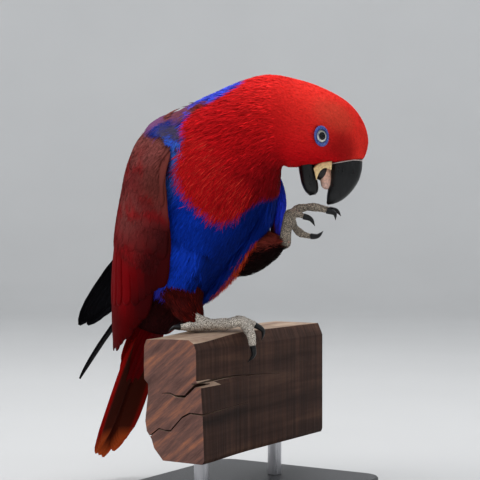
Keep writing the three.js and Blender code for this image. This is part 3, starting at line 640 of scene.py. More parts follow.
# Limbs: a path and the radii along it, and for the wing's bend its flatness and upward way.
THIGHS = {
    "right": ([(-40, -1, 66), (-34, -6, 42), (-27, -4, 25), (-21, -1, 12)], [25, 25, 18.5, 9.5]),
    "left": (
        [(-34, 32, 68), (-6, 38, 64), (22, 38, 69), tuple(head_point(*LEFT_HEEL) + (-4, -2, -1))],
        [22, 21, 20, 18.5, 15.5, 11, 5],
    ),
}
SOCK = ([(-36, -7, 38), (-27, -10, 26), (-18.5, -12, 16.5), (-12, -9, 9)], [15, 12.5, 9.8, 6])
BEND = (
    [(-12, 57.5, 152), (1, 60.5, 139), (13.4, 57.5, 123), (21.5, 54, 111), (25.5, 50.5, 99), (28.5, 47.5, 85)],
    [7, 8.5, 10.2, 11.4, 11.4, 7.5], 0.62, (0.5, 1, 0),
)


def body_map(t, angle):
    """Places on the map OFBake for points of the body."""
    return np.stack([angle / 360 + 0.5, t / BODY_ENDS], -1)


def body_skin():
    tt, aa = grid(np.linspace(0, BODY_ENDS, SKIN_ROWS), np.linspace(-180, 180, SKIN_SIDES, endpoint=False))
    points, faces = tube(body_point(tt, aa, -coat_depth(tt)))
    for side in (-1, 1):
        centre, axis, long_way, short_way = eye_frame(side, LID_TURN, LID_DROOP)
        away = points - centre - axis * LID_OUT
        across = np.hypot(away @ long_way / SOCKET_HALVES[0], away @ short_way / SOCKET_HALVES[1])
        sunk = SOCKET_DEPTH * smoothstep(-across, -1.15, -0.75) * (np.abs(away @ axis) < NEAR_SIDE + 1)
        points = points - sunk[:, None] * axis
    tt, aa = np.append(tt.ravel(), [0, BODY_ENDS]), np.append(aa.ravel(), [0, 0])
    # painted shade: the skin takes the body's colours, painted darker as shade under the coat
    return points, faces, body_colour(tt, aa) * UNDER_COAT_SHADE, body_map(tt, aa)


def add_skin():
    points, faces, colour, bake = body_skin()
    parts, shades, maps = [(points, faces)], [colour], [bake]
    for path, radii in THIGHS.values():
        leg_points, leg_faces = tube(rounded(limb_rings(path, np.array(radii) - THIGH_DEPTH, 30, 40)))
        parts.append((leg_points, leg_faces))
        # painted shade: the thighs' skin is the vent's colour, painted darker as shade under their coat
        shades.append(np.tile(VENT * UNDER_THIGHS_SHADE, (len(leg_points), 1)))
        maps.append(np.tile(THIGH_MAP, (len(leg_points), 1)))
    points, faces = joined(parts)
    skin = make_object("skin", points, faces, SKIN, np.concatenate(shades), np.concatenate(maps))
    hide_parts("torso", "neck", "head", "thigh_right", "thigh_left")


# Coat: thin pointed tufts that follow the lie of the plumage.

TUFT_PATCH = 0.003  # each tuft's size on the map OFBake
TUFT_ROLL = 16  # how unevenly tufts turn about their own length, in degrees
T_STEP = 0.02
# painted highlight: how much lighter a glinting tuft is painted
PAINTED_GLINT = 1.45


def tuft_mesh(centres, sides, roots_uv, colour, soft):
    """Points, faces, colours and map of many tufts. centres is tufts x stations x 3, and sides holds
    the way across at each station, already as long as half the width. soft is how light a root is painted, as painted
    shade."""
    count, stations = centres.shape[:2]
    left, right = centres[:, :-1] - sides[:, :-1], centres[:, :-1] + sides[:, :-1]
    points = np.concatenate([np.stack([left, right], 2).reshape(count, -1, 3), centres[:, -1:]], 1)
    each = points.shape[1]
    faces = []
    for k in range(stations - 2):
        a = 2 * k
        faces += [(a, a + 1, a + 3), (a, a + 3, a + 2)]
    faces.append((each - 3, each - 2, each - 1))
    index = (np.arange(count)[:, None, None] * each + np.array(faces)[None]).reshape(-1, 3)
    along = np.append(np.repeat(np.arange(stations - 1), 2), stations - 1) / (stations - 1)
    across = np.append(np.tile([0.0, 1.0], stations - 1), 0.5)
    patch = np.stack([across - 0.5, along - 0.5], -1) * TUFT_PATCH
    uv = np.clip(roots_uv[:, None] + patch[None], 0.001, 0.999)
    # painted shade and light: each tuft is painted darker at its root, by soft, and a little lighter towards its tip
    light = np.interp(along, [0, 0.35, 1], [soft, 0.96, 1.06])
    shades = colour[:, None] * light[None, :, None]
    return points.reshape(-1, 3), index, shades.reshape(-1, 3), uv.reshape(-1, 2)


def slopes(surface, t, angle):
    """How a surface goes on over T_STEP of t and over one degree."""
    half = T_STEP / 2
    return surface(t + half, angle) - surface(t - half, angle), surface(t, angle + 0.5) - surface(t, angle - 0.5)


def scattered(surface, count, t_range, angle_range, keep=None):
    """Roots spread evenly over part of a surface."""
    t = RANDOM.uniform(*t_range, count * 3)
    angle = RANDOM.uniform(*angle_range, count * 3)
    area = np.linalg.norm(np.cross(*slopes(surface, t, angle)), axis=1)
    chance = area / np.percentile(area, 99)
    if keep is not None:
        chance = chance * keep(t, angle)
    chosen = RANDOM.uniform(0, 1, len(t)) < chance
    return t[chosen][:count], angle[chosen][:count]


def laid(surface, t, angle, long, half, drift, low, high, sense, stations):
    """Middle lines and half widths of tufts that lie along a surface. drift is in degrees from its
    lines of equal angle, low and high are the heights of root and tip, sense is the way along t."""
    speed, degree = (np.linalg.norm(way, axis=1) for way in slopes(surface, t, angle))
    drift = np.tan(drift * RAD) * long / np.maximum(degree, 0.05)
    s = np.linspace(0, 1, stations)
    tt = t[:, None] + sense * s * (long / np.maximum(speed / T_STEP, 0.05))[:, None]
    aa = angle[:, None] + drift[:, None] * s
    grow = low[:, None] + (high - low)[:, None] * s**0.6
    centres = surface(tt, aa, grow)
    across = unit(surface(tt, aa + 1, grow) - surface(tt, aa - 1, grow))
    along = unit(np.gradient(centres, axis=1))
    across = unit(across - along * (across * along).sum(-1, keepdims=True))
    normal = np.cross(along, across)
    roll = RANDOM.normal(0, TUFT_ROLL, len(t))[:, None, None] * RAD
    across = across * np.cos(roll) + normal * np.sin(roll)
    return centres, across * (half[:, None] * tapered(s))[..., None]


def tapered(s):
    return np.interp(s, [0, 0.3, 0.7, 1], [0.7, 1, 0.75, 0])


def tinted(colour, contrast, painted_glints=0.0):
    """Each tuft a little lighter or darker, and a few of them painted lighter as glints: painted highlights."""
    count = len(colour)
    shade = colour * RANDOM.normal(1, contrast, (count, 1)).clip(0.4, 1.6)
    painted_glint_mask = RANDOM.uniform(0, 1, count) < painted_glints
    return np.where(painted_glint_mask[:, None], shade * PAINTED_GLINT + 0.004, shade)


def tuft_object(name, centres, sides, roots, shade, soft=0.5):
    points, faces, shades, uv = tuft_mesh(centres, sides, roots, shade, soft)
    piece = make_object(name, points, faces, PLUMAGE, shades, uv)


def on_body(t, angle, grow=0.0):
    return body_point(np.clip(t, 0, BODY_ENDS), angle, grow)


def body_tufts(name, count, t_range, angle_range, length, width, stations=4, keep=None, rise=1.0, stray=9.0,
               contrast=0.14, painted_glints=0.0, soft=0.5):
    """Tufts over part of the body. length and width are places along t and the millimetres there."""
    t, angle = scattered(on_body, count, t_range, angle_range, keep)
    count = len(t)
    long = np.interp(t, *length) * RANDOM.uniform(0.75, 1.2, count)
    half = np.interp(t, *width) * RANDOM.uniform(0.7, 1.25, count) / 2
    depth = coat_depth(t)
    high = depth * (rise * RANDOM.uniform(0.6, 1.1, count) - 1)
    drift = RANDOM.normal(0, stray, count)
    centres, sides = laid(on_body, t, angle, long, half, drift, -depth - 0.3, high, -1, stations)
    speed = np.linalg.norm(slopes(on_body, t, angle)[0], axis=1) / T_STEP
    shown = np.clip(t - 0.55 * long / speed, 0, BODY_ENDS)
    shade = tinted(body_colour(shown, angle + 0.05 * drift), contrast, painted_glints)
    tuft_object(name, centres, sides, body_map(t, angle) % 1.0, shade, soft)


def strands(name, surface, count, t_range, angle_range, sizes, drift, shade, low=-2.0, sense=-1, stations=5,
            soft=0.5, keep=None, inside=None, rise=None, roots=body_map):
    """Loose feathers over part of a surface. sizes are the ranges of length, half width and the tip's
    height, drift is its middle and spread, and shade is a function of (t, angle), as keep, inside and roots are."""
    t, angle = scattered(surface, count, t_range, angle_range, keep)
    if inside:
        chosen = inside(t, angle)
        t, angle = t[chosen], angle[chosen]
    count = len(t)
    long, half, high = (RANDOM.uniform(*ends, count) for ends in sizes)
    if rise:
        high = high * rise(t)
    drift = RANDOM.normal(*drift, count)
    centres, sides = laid(surface, t, angle, long, half, drift, np.full(count, low), high, sense, stations)
    tuft_object(name, centres, sides, roots(t, angle) % 1.0, shade(t, angle), soft)


# The oval kept clear for a tuft's root, middle and tip: how far back each lies, and the oval's two halves.
CLEAR_RINGS = [(0, 7.9, 5.5), (0.17, 7.3, 5.3), (0.34, 7.0, 5.2)]


def clear_of_eyes(t, angle):
    """Whether a tuft is clear of the rings round the eyes."""
    clear = np.ones(len(t), bool)
    for side in (-1, 1):
        centre, axis, long_way, short_way = eye_frame(side, LID_TURN, LID_DROOP)
        centre = centre + axis * LID_OUT + long_way * LID_SHIFT
        for back, long, short in CLEAR_RINGS:
            away = on_body(t - back, angle) - centre
            over_ring = (away @ long_way / long) ** 2 + (away @ short_way / short) ** 2 < 1
            clear &= ~(over_ring & (np.abs(away @ axis) < NEAR_SIDE))
    return clear


def thin_under_wings(t, angle):
    return np.where((np.abs(angle) < 84) & (t < 3.8), 0.3, 1.0)


def add_coat():
    for side, angles in (("right", (-180, 0)), ("left", (0, 180))):
        body_tufts(
            "coat_face_" + side, 22500, (9.3, 13), angles, ([9, 11, 13], [5.2, 3.8, 2.2]), ([9, 13], [0.85, 0.6]),
            keep=clear_of_eyes, contrast=0.05, stray=6, soft=0.75,
        )
        body_tufts(
            "coat_crown_" + side, 19000, (7.2, 9.4), angles, ([0], [6.8]), ([0], [0.95]), contrast=0.06, stray=6,
            keep=clear_of_eyes, soft=0.7,
        )
        # painted highlights: a few bib tufts are painted lighter as glints
        body_tufts(
            "coat_bib_" + side, 25500, (3.7, 7.4), angles, ([4, 5.5, 7.4], [17, 13, 8]), ([4, 7.4], [0.7, 0.95]),
            stations=5, contrast=0.2, painted_glints=0.06, stray=10, rise=1.25,
        )
        # painted highlights: a few body tufts are painted lighter as glints
        body_tufts(
            "coat_body_" + side, 21500, (0.05, 4.5), angles, ([0, 4.6], [12, 15]), ([0], [1.0]), stations=5,
            contrast=0.22, painted_glints=0.03, rise=1.1, keep=thin_under_wings,
        )
    # long fine strands of the bib, which hang over its edge on to the blue; a few are painted a lighter orange-red as
    # glints, painted highlights
    strands(
        "coat_bib_strands", on_body, 2600, (4.2, 5.7), (-158, -84), [(10, 20), (0.16, 0.38), (0.3, 1.5)], (0, 11),
        lambda t, angle: tinted(mixed(SCARLET, srgb(224, 64, 48), RANDOM.uniform(0, 1, len(t)) ** 6), 0.2),
        low=-2.5, stations=6, soft=0.6, keep=lambda t, angle: t > bib_edge(angle) + 0.12,
    )


LIMB_STEPS, LIMB_SIDES, CORE_SIDES = 60, 48, 28


def limb_surface(path, radii, flat=1.0, top=(0, 0, 1)):
    """A limb as a surface: steps along it and degrees round it. It goes on past its end."""
    rings = limb_rings(path, radii, LIMB_STEPS, LIMB_SIDES, flat, top)
    middle = rings.mean(1)
    stride = middle[-1] - middle[-2]

    def surface(u, degrees, grow=0.0):
        u, degrees, grow = np.broadcast_arrays(u, degrees, np.asarray(grow, float))
        k = np.clip(u, 0, LIMB_STEPS - 0.001)
        low, f = k.astype(int), (k % 1)[..., None]
        turn = (degrees / 360 * LIMB_SIDES) % LIMB_SIDES
        j, g = turn.astype(int) % LIMB_SIDES, (turn % 1)[..., None]
        after = (j + 1) % LIMB_SIDES
        ring = lambda n: rings[n, j] * (1 - g) + rings[n, after] * g
        point = ring(low) * (1 - f) + ring(low + 1) * f
        centre = middle[low] * (1 - f) + middle[low + 1] * f
        past = np.maximum(u - LIMB_STEPS, 0)[..., None]
        out = point - centre
        return centre + out * np.exp(-0.05 * past) + unit(out) * grow[..., None] + stride * past

    return surface


def limb_tufts(name, plan, depth, count, length, width, colour):
    """A coat over a limb. colour is a function of the way along, 0 to 1, and the outward direction."""
    surface = limb_surface(*plan)
    u, degrees = scattered(surface, count, (0.5, LIMB_STEPS - 0.5), (0, 360))
    count = len(u)
    long = length * RANDOM.uniform(0.7, 1.25, count)
    half = width * RANDOM.uniform(0.7, 1.25, count) / 2
    drift = RANDOM.normal(0, 9, count)
    low, high = np.full(count, -depth - 0.2), 0.2 + RANDOM.uniform(-0.5, 0.5, count) * depth
    centres, sides = laid(surface, u, degrees, long, half, drift, low, high, 1, 4)
    out = unit(surface(u, degrees, 1.0) - surface(u, degrees))
    shade = tinted(colour(u / LIMB_STEPS, out), 0.2)
    roots = np.stack([degrees / 360 * 0.998, 0.002 + u / LIMB_STEPS * 0.05], -1)
    tuft_object(name, centres, sides, roots, shade)


def right_thigh_colour(share, out):
    spark = RANDOM.uniform(0, 1, len(share)) ** 6
    return layered(VENT, (srgb(68, 12, 9), smoothstep(share, 0.1, 0.8)), (ORANGE_RED, 0.35 * spark))


def left_thigh_shaded_colour(share, out):
    # painted shade: the thigh is painted near black on its side that faces down, and red-brown on top
    upper = smoothstep(out[:, 2] + RANDOM.normal(0, 0.15, len(share)), -0.5, 0.25)
    return mixed(srgb(24, 8, 9), srgb(150, 62, 50), upper)


def bend_colour(share, out):
    inward = -0.82 * out[:, 0] - 0.57 * out[:, 1] + RANDOM.normal(0, 0.12, len(share))
    return layered(
        srgb(6, 34, 150),
        (srgb(44, 70, 236), smoothstep(share, 0.5, 0.78)),
        (VIOLET, 0.8 * smoothstep(share, 0.85, 1)),
        (RED_BROWN, smoothstep(share, 0.66, 0.8) * smoothstep(inward, 0.1, 0.45)),
    )


def flank_colour(t, angle):
    """Blue with violet tips, and painted darker towards the belly, as painted shade on the underside."""
    shade = layered(
        BELLY_BLUE,
        (BRIGHT_BLUE, 0.35),
        (VIOLET, 0.7 * falling(t - 0.15 * ripple(t * 3, angle), 2.1, 2.5)),
        # painted shade: darker blue towards the belly, matching the body's underside
        (DEEP_BLUE, smoothstep(np.abs(angle), 146, 156)),
    )
    # painted highlights: a few flank feathers are painted lighter as glints
    return tinted(shade, 0.2, 0.03)


def belly_colour(t, angle):
    # painted shade: the belly's left edge is painted a darker blue, as shade on the underside
    return tinted(np.tile(mixed(BELLY_BLUE, DEEP_BLUE, 0.6), (len(t), 1)), 0.2)


def fringe_colour(t, angle):
    return tinted(mixed(ORANGE_RED, srgb(214, 84, 40), RANDOM.uniform(0, 1, len(t)) ** 2), 0.2)


def over_belly(t):
    return np.interp(t, [1.9, 2.5, 4.2, 4.7, 5.2], [0.5, 1, 1, 1.3, 0.6])


def add_limb(name, plan, depth, core_colour, steps, count, length, width, colour):
    """A limb's core in one dark colour, with a coat over it."""
    path, radii, *shape = plan
    rings = rounded(limb_rings(path, np.array(radii) - depth, steps, CORE_SIDES, *shape))
    core = solid(name, rings, SKIN, core_colour)
    limb_tufts("coat_" + name, plan, depth, count, length, width, colour)


def add_limb_coats():
    for side, colour in (("right", right_thigh_colour), ("left", left_thigh_shaded_colour)):
        limb_tufts("coat_thigh_" + side, THIGHS[side], THIGH_DEPTH, 9500, 11, 0.8, colour)
    # long loose feathers of the right flank, which fall over the thigh
    strands(
        "coat_flank_right", on_body, 3600, (2.05, 3.1), (-157, -118), [(16, 27), (0.5, 1.0), (1.5, 6.5)], (0, 8),
        flank_colour, stations=6,
    )
    # soft blue feathers that fill the belly's left edge, with orange-red hair-like ones outside
    strands(
        "coat_belly_left", on_body, 5600, (1.9, 5.2), (140, 176), [(13, 20), (0.4, 0.8), (1.0, 5.5)], (0, 7),
        belly_colour, rise=over_belly,
    )
    strands(
        "coat_fringe_left", on_body, 1500, (1.9, 3.9), (150, 168), [(8, 16), (0.25, 0.5), (3.5, 8)], (0, 14),
        fringe_colour, soft=0.6, rise=over_belly,
    )
    add_limb("sock_right", SOCK, 1, VENT, 20, 2500, 8, 0.8, right_thigh_colour)
    add_limb("wing_bend", BEND, 1.2, DEEP_BLUE, 30, 4500, 12, 1.0, bend_colour)


# Flight feathers


WING = np.array([
    (8, MIDLINE, 152, 0, 48, 53, 57, 62),
    (-17, MIDLINE, 120, 0, 57, 58, 65, 68),
    (-36, MIDLINE, 90, 0, 60, 54, 52, 58),
    (-52, MIDLINE, 60, 0, 61, 51, 45, 50),
    (-66, MIDLINE, 32, 0, 62, 44, 40, 42),
    (-79, MIDLINE, 4, 0, 62, 35, 34, 33),
    (-93, MIDLINE, -27, 0, 62, 26, 27, 24),
    (-107, MIDLINE, -58, 0, 62, 14, 15, 14),
], float)
STATIONS = np.array([0, 0.08, 0.2, 0.35, 0.5, 0.65, 0.78, 0.87, 0.93, 0.97, 1.0])
OUTLINE = np.array([0.4, 0.72, 0.92, 1, 1, 1, 0.96, 0.84, 0.66, 0.42, 0.1])
VANE_ACROSS = 9
SHAFT_HEIGHT, SHAFT_SHARPNESS, VANE_CURL = 0.45, 5, 0.03
SHEET = 8  # the vanes' map OFBake holds this many feathers each way


def vane(place, width, length, lift, colour, cell, thick=0.35):
    """One flight feather or covert as a thin closed slab with a raised shaft. cell is its place on the
    map OFBake. Returns points, faces, colours and both maps."""
    across = np.linspace(-1, 1, VANE_ACROSS)
    ragged = 1 + 0.02 * RANDOM.normal(0, 1, len(STATIONS))
    s, k = grid(STATIONS, across)
    side = k * width * (OUTLINE * ragged)[:, None] / 2
    shaft = SHAFT_HEIGHT * np.exp(-((k * SHAFT_SHARPNESS) ** 2)) * (1 - s)
    curl = VANE_CURL * width * (1 - k * k)
    upper = place(s, side, lift * side + shaft + curl)
    lower = place(s, side, lift * side + curl - thick * (1 - 0.6 * s))
    rows = len(STATIONS)
    points = np.concatenate([upper.reshape(-1, 3), lower.reshape(-1, 3)])
    top = grid_faces(rows, VANE_ACROSS)
    under = top[:, ::-1] + rows * VANE_ACROSS
    rim = np.concatenate([
        np.arange(VANE_ACROSS - 1),
        np.arange(rows - 1) * VANE_ACROSS + VANE_ACROSS - 1,
        (rows - 1) * VANE_ACROSS + np.arange(VANE_ACROSS - 1, 0, -1),
        np.arange(rows - 1, 0, -1) * VANE_ACROSS,
    ])
    after = np.roll(rim, -1)
    edge = np.stack([after, rim, rim + rows * VANE_ACROSS, after + rows * VANE_ACROSS], -1)
    shades = np.tile(colour(s, k).reshape(-1, 3), (2, 1))
    row, column = divmod(cell, SHEET)
    sheet = np.stack([column + 0.1 + 0.8 * (k + 1) / 2, row + 0.1 + 0.8 * s], -1).reshape(-1, 2) / SHEET
    barbs = np.stack([side, s * length], -1).reshape(-1, 2)
    return (points, [np.concatenate([top, under, edge])]), shades, np.tile(sheet, (2, 1)), np.tile(barbs, (2, 1))


def plain(shade):
    return lambda s, k: np.broadcast_to(shade, s.shape + (3,))


def vane_object(name, vanes):
    points, faces = joined([made[0] for made in vanes])
    piece = make_object(name, points, faces, VANES, *(np.concatenate([made[k] for made in vanes]) for k in (1, 2, 3)))
    return piece


def wing_point(t, angle, height):
    return section_point(WING, t, -angle, height)


SHOULDER = np.array([8, MIDLINE + 34, 146])
LEFT_WING_RAISE, LEFT_WING_TURN = 17 * RAD, 9 * RAD


def carried(side, points):
    """Points of the right wing, or for the left one their mirror image, lifted up and back about the shoulder."""
    if side == "right":
        return points
    p = points * (1, -1, 1) + (0, 2 * MIDLINE, 0) - SHOULDER
    x, z = turned(p[..., 0], p[..., 2], -LEFT_WING_RAISE)
    return np.stack([*turned(x, p[..., 1], LEFT_WING_TURN), z], -1) + SHOULDER


BLACK = srgb(16, 16, 19)
BROWN_MAROON = srgb(122, 62, 58)
DUSKY_RED = srgb(112, 36, 36)
ROSE_GREY = srgb(124, 66, 62)
CRIMSON = srgb(120, 4, 10)
DARK_WINE = srgb(46, 7, 9)
WING_TIP = srgb(74, 1, 2)
RUST = srgb(84, 46, 34)
OLIVE_BROWN = srgb(66, 54, 48)

# How far the wing's plumage stands out over its loft, from the shoulder to the wing's tip.
TOP_AT = [0, 0.4, 0.53, 0.73, 0.85, 1, 1.15, 1.3, 1.5, 1.75, 2, 2.45, 3.25, 4.1, 5, 5.8, 6.2]
TOP_HEIGHTS = [-6, -0.5, 1.9, 3.4, 3.8, 3.5, 3.7, 4.4, 5.4, 6.2, 6.9, 6.6, 4.7, 3.6, 3.2, 0.2, 0]


def plumage_top(t, angle):
    return np.interp(t, TOP_AT, TOP_HEIGHTS) - 2.4 * smoothstep(angle, 86, 124)


def wing_colour(t, angle):
    """The wing's colour over its loft: brown at the shoulder, then dusky red, crimson towards the tip.
    The shoulder's brown and a rose-grey patch are partly the plumage's own tones and partly painted highlight.
    """
    wave = ripple(t, angle, 1.3)
    blotch = smoothstep(ripple(t * 2.6, angle * 1.5, 4.2) + 0.6 * ripple(t * 6, angle * 3, 2.1), 0.0, 0.9)
    return layered(
        # partly the shoulder's own brown-maroon and partly painted highlight, lightened as if lit from the sky
        BROWN_MAROON,
        (DUSKY_RED, smoothstep(t + 0.2 * wave, 0.7, 1.5)),
        # partly dusky pink feathers and partly a painted highlight patch
        (ROSE_GREY, 0.6 * spot(t, angle, (1.95, 78), (0.75, 26), 0.2)),
        (srgb(132, 12, 18), 0.75 * blotch * smoothstep(t, 0.5, 1.1)),
        (CRIMSON, smoothstep(t + 0.3 * wave, 2.2, 3.3)),
        (DARK_WINE, 0.85 * smoothstep(angle + 4 * wave, 94, 116) * smoothstep(t, 1.0, 1.9)),
        (srgb(92, 40, 34), 0.7 * smoothstep(angle + 6 * wave, 80, 92) * falling(t, 1.0, 1.6)),
        (OLIVE_BROWN, 0.55 * spot(t, angle, (0.2, 76), (0.3, 16), 0.3)),
    )


# The tiers from the lowest up: name, count, width, lift, roots, and tips of the right and the left wing.
# Roots and tips are (t, angle) pairs from the leading edge to the back.
TIERS = [
    ("primaries", 10, 19, 0.06, [(2.3, 112), (2.35, 86), (2.4, 62)],
     [(4.5, 117), (5.3, 103), (5.85, 80), (6.05, 50)], [(4.9, 99), (5.9, 84), (6.6, 64), (6.7, 44)]),
    ("secondaries", 12, 18, 0.08, [(1.55, 110), (1.6, 68), (1.6, 22)],
     [(3.3, 129), (4.1, 112), (4.75, 70), (4.75, 22)], [(3.2, 122), (3.9, 104), (4.2, 64), (4.1, 24)]),
    ("greater_coverts", 12, 17, 0.07, [(0.8, 96), (0.7, 62), (0.75, 26)],
     [(2.5, 121), (2.8, 72), (2.7, 18)], [(2.4, 112), (2.7, 68), (2.6, 20)]),
    ("median_coverts", 13, 15, 0.07, [(0.55, 90), (0.5, 60), (0.5, 28)],
     [(1.85, 115), (2.1, 70), (2.1, 18)], [(1.85, 110), (2.05, 68), (2.05, 20)]),
    ("lesser_coverts_low", 14, 12.5, 0.06, [(0.35, 84), (0.3, 56), (0.3, 26)],
     [(1.3, 104), (1.5, 66), (1.5, 18)], [(1.35, 106), (1.5, 66), (1.5, 20)]),
    ("lesser_coverts_mid", 12, 11.5, 0.06, [(0.15, 76), (0.1, 54), (0.1, 27)],
     [(0.85, 88), (0.95, 62), (0.95, 18)], [(0.85, 94), (0.95, 62), (0.95, 20)]),
    ("lesser_coverts_top", 10, 10, 0.06, [(0.0, 72), (0.08, 60), (0.3, 48)],
     [(0.45, 76), (0.5, 60), (0.66, 42)], [(0.45, 84), (0.5, 62), (0.66, 42)]),
    ("scapulars", 3, 12, 0.05, [(0.42, 45), (0.7, 43), (1.1, 43)],
     [(0.95, 50), (1.45, 50), (2.1, 52)], [(0.85, 34), (1.35, 30), (2.0, 30)]),
]
ROOT_SINKS = 2.4  # how far a feather's root lies under the wing's plumage
MM_FOR_T = 34  # about how long the wing's loft is for each step of t
LEFT_EDGE_BACK = {"right": 0, "left": 6}  # the left wing's leading edge starts further back, in degrees


def fan(table, share):
    table = np.array(table, float)
    place = share * (len(table) - 1)
    return np.array([np.interp(place, range(len(table)), table[:, k]) for k in (0, 1)])


def wing_surface(side):
    """The wing's outside as a surface, in the bird's frame."""
    return lambda t, angle, grow=0.0: carried(side, wing_point(t, angle, plumage_top(t, angle) + grow))


def blackened(side, t, shade):
    """The left wing turns black towards its tip."""
    return mixed(shade, BLACK, 0.85 * smoothstep(t, 1.5, 2.5)) if side == "left" else shade


def add_wing(side):
    surface = wing_surface(side)
    vanes = []
    for name, count, width, lift, roots, *tips in TIERS:
        for n in range(count):
            share = n / (count - 1)
            start, end = fan(roots, share), fan(tips[side == "left"], share)
            start, end = start + RANDOM.normal(0, (0.02, 0.8)), end + RANDOM.normal(0, (0.035, 0.8))
            tone = RANDOM.normal(1, 0.09)

            def way(s):
                return start[0] + (end[0] - start[0]) * s, start[1] + (end[1] - start[1]) * s

            def place(s, across, height):
                t, angle = way(s)
                radius = spline(WING[:, 5:6], t)[..., 0]
                return surface(t, angle + across / radius / RAD, height - ROOT_SINKS * (1 - s) ** 1.2)

            def colour(s, k):
                t, angle = way(s)
                shade = wing_colour(t, angle + 4 * k) * tone
                if name == "primaries" and side == "left":
                    shade = np.broadcast_to(RUST if n < 3 else BLACK, shade.shape)
                elif name == "primaries":
                    shade = mixed(shade, WING_TIP, 0.85 * smoothstep(t, 4.0, 5.0))
                else:
                    shade = blackened(side, t, shade)
                if name == "scapulars" and side == "right":
                    shade = mixed(shade, ROSE_GREY, 0.5)
                rim = np.maximum(smoothstep(np.abs(k), 0.72, 1), smoothstep(s, 0.93, 1))
                return shade * (1 - (0.75 if name == "scapulars" else 0.2) * rim)[..., None]

            vanes.append(vane(place, width, (end[0] - start[0]) * MM_FOR_T, lift, colour, len(vanes)))
    if side == "left":
        vanes.append(loose_primary(len(vanes)))
    piece = vane_object("wing_feathers_" + side, vanes)
    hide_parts("wing_" + side)
    add_wing_core(side)
    # soft loose barbs over the coverts, which blur their edges
    edge = [70, 86, 102, 121, 122]
    strands(
        "wing_down_" + side, surface, 15000, (0.05, 2.9), (18, 122), [(4, 9), (0.25, 0.6), (0.1, 0.6)], (4, 12),
        lambda t, angle: blackened(side, t, tinted(wing_colour(t + 0.1, angle), 0.16)),
        low=-0.5, sense=1, stations=4, soft=0.9,
        inside=lambda t, angle: angle < np.interp(t, [0, 0.5, 1, 2, 2.9], edge) - LEFT_EDGE_BACK[side],
        roots=lambda t, angle: np.stack([0.25 - angle / 720, 0.42 - t / 40], -1),
    )


def add_wing_core(side):
    """The fleshy part of the wing, which closes it under the coverts."""
    t, k = grid(np.linspace(0, 2.9, 30), np.linspace(0, 1, 24))
    back = np.interp(t, [0, 1, 2, 2.9], [28, 20, 20, 24])
    front = np.interp(t, [0, 0.5, 1, 2, 2.9], [64, 78, 93, 112, 110]) - LEFT_EDGE_BACK[side]
    angle = back + (front - back) * k
    outer = wing_point(t, angle, plumage_top(t, angle) - 2.6 - 5 * (1 - np.sin(math.pi * k) ** 0.4))
    inner = wing_point(t, angle, -8 + 0 * t)
    loop = np.concatenate([carried(side, outer), carried(side, inner)[:, ::-1]], axis=1)
    core = solid("wing_core_" + side, loop, SKIN, DARK_WINE)


def mantle_colour(angle, wave):
    return layered(
        srgb(24, 70, 200),
        (DEEP_BLUE, 0.7 * smoothstep(wave, -0.2, 0.5)),
        (RED_BROWN, 0.8 * smoothstep(wave, 0.3, 0.6) * falling(angle, 42, 50)),
        (OLIVE_BROWN, 0.9 * near(angle + 2 * wave, 66, 6, 11)),
        (srgb(14, 24, 84), 0.8 * near(angle + 2 * wave, 54, 2, 5)),
        (srgb(112, 60, 66), 0.85 * falling(angle + 3 * wave, 48, 53)),
        (SKY_BLUE, smoothstep(angle + 2 * wave, 75, 79)),
    )


def add_mantle():
    """Feathers that run from the back over the root of the right wing."""
    count = 7500
    angle = RANDOM.uniform(14, 80, count)
    start = RANDOM.uniform(-0.5, 0.2, count)
    start = np.maximum(start, np.interp(angle, [14, 45, 58, 66, 76, 84], [-0.5, -0.4, -0.13, -0.06, 0.04, 0.15]))
    s = np.linspace(0, 1, 6)
    limit = np.interp(angle, [14, 46, 58, 66, 84], [0.55, 0.62, 0.48, 0.22, 0.3]) + RANDOM.normal(0, 0.03, count)
    reach = np.clip(limit - start, 0.16, 0.5) * RANDOM.uniform(0.75, 1, count)
    t = start[:, None] + reach[:, None] * s
    a = angle[:, None] + RANDOM.normal(0, 5, count)[:, None] * s
    back = lambda grow: body_point(5.27 - 1.17 * t, -a, grow)
    cover = wing_point(t, a, plumage_top(t, a) + 1.5 + RANDOM.uniform(-0.6, 0.6, count)[:, None])
    over_wing = smoothstep(t, -0.05, 0.45)[..., None]
    centres = back(-1.5 + 2.5 * s) * (1 - over_wing) + cover * over_wing
    across = unit(np.cross(unit(np.gradient(centres, axis=1)), unit(back(2) - back(0))))
    half = RANDOM.uniform(0.5, 1.0, count)[:, None] * tapered(s)
    shade = tinted(mantle_colour(angle, ripple(start * 2, angle, 0.7)), 0.15)
    roots = np.stack([0.5 - angle / 360, 0.44 - start * 0.09], -1)
    tuft_object("mantle_right", centres, across * half[..., None], roots, shade, 0.7)


def loose_primary(cell):
    """The left wing's outermost primary, which hangs apart from the others on its edge."""
    root, bend, tip = np.array([(-66, 40, 66), (-124, 18, 26), (-161, -6, -50)], float)
    side = unit(np.array([-math.sin(HEAD_TURN), math.cos(HEAD_TURN), 0.25]) + 0.3 * np.array([0.82, 0.58, 0]))

    def place(s, across, height):
        s = np.asarray(s)[..., None]
        middle = root * (1 - s) ** 2 + bend * 2 * s * (1 - s) + tip * s * s
        tangent = unit((bend - root) * (1 - s) + (tip - bend) * s)
        normal = unit(np.cross(tangent, side))
        return middle + side * across[..., None] + normal * height[..., None]

    return vane(place, 13, 150, 0.12, plain(BLACK), cell, thick=2.8)


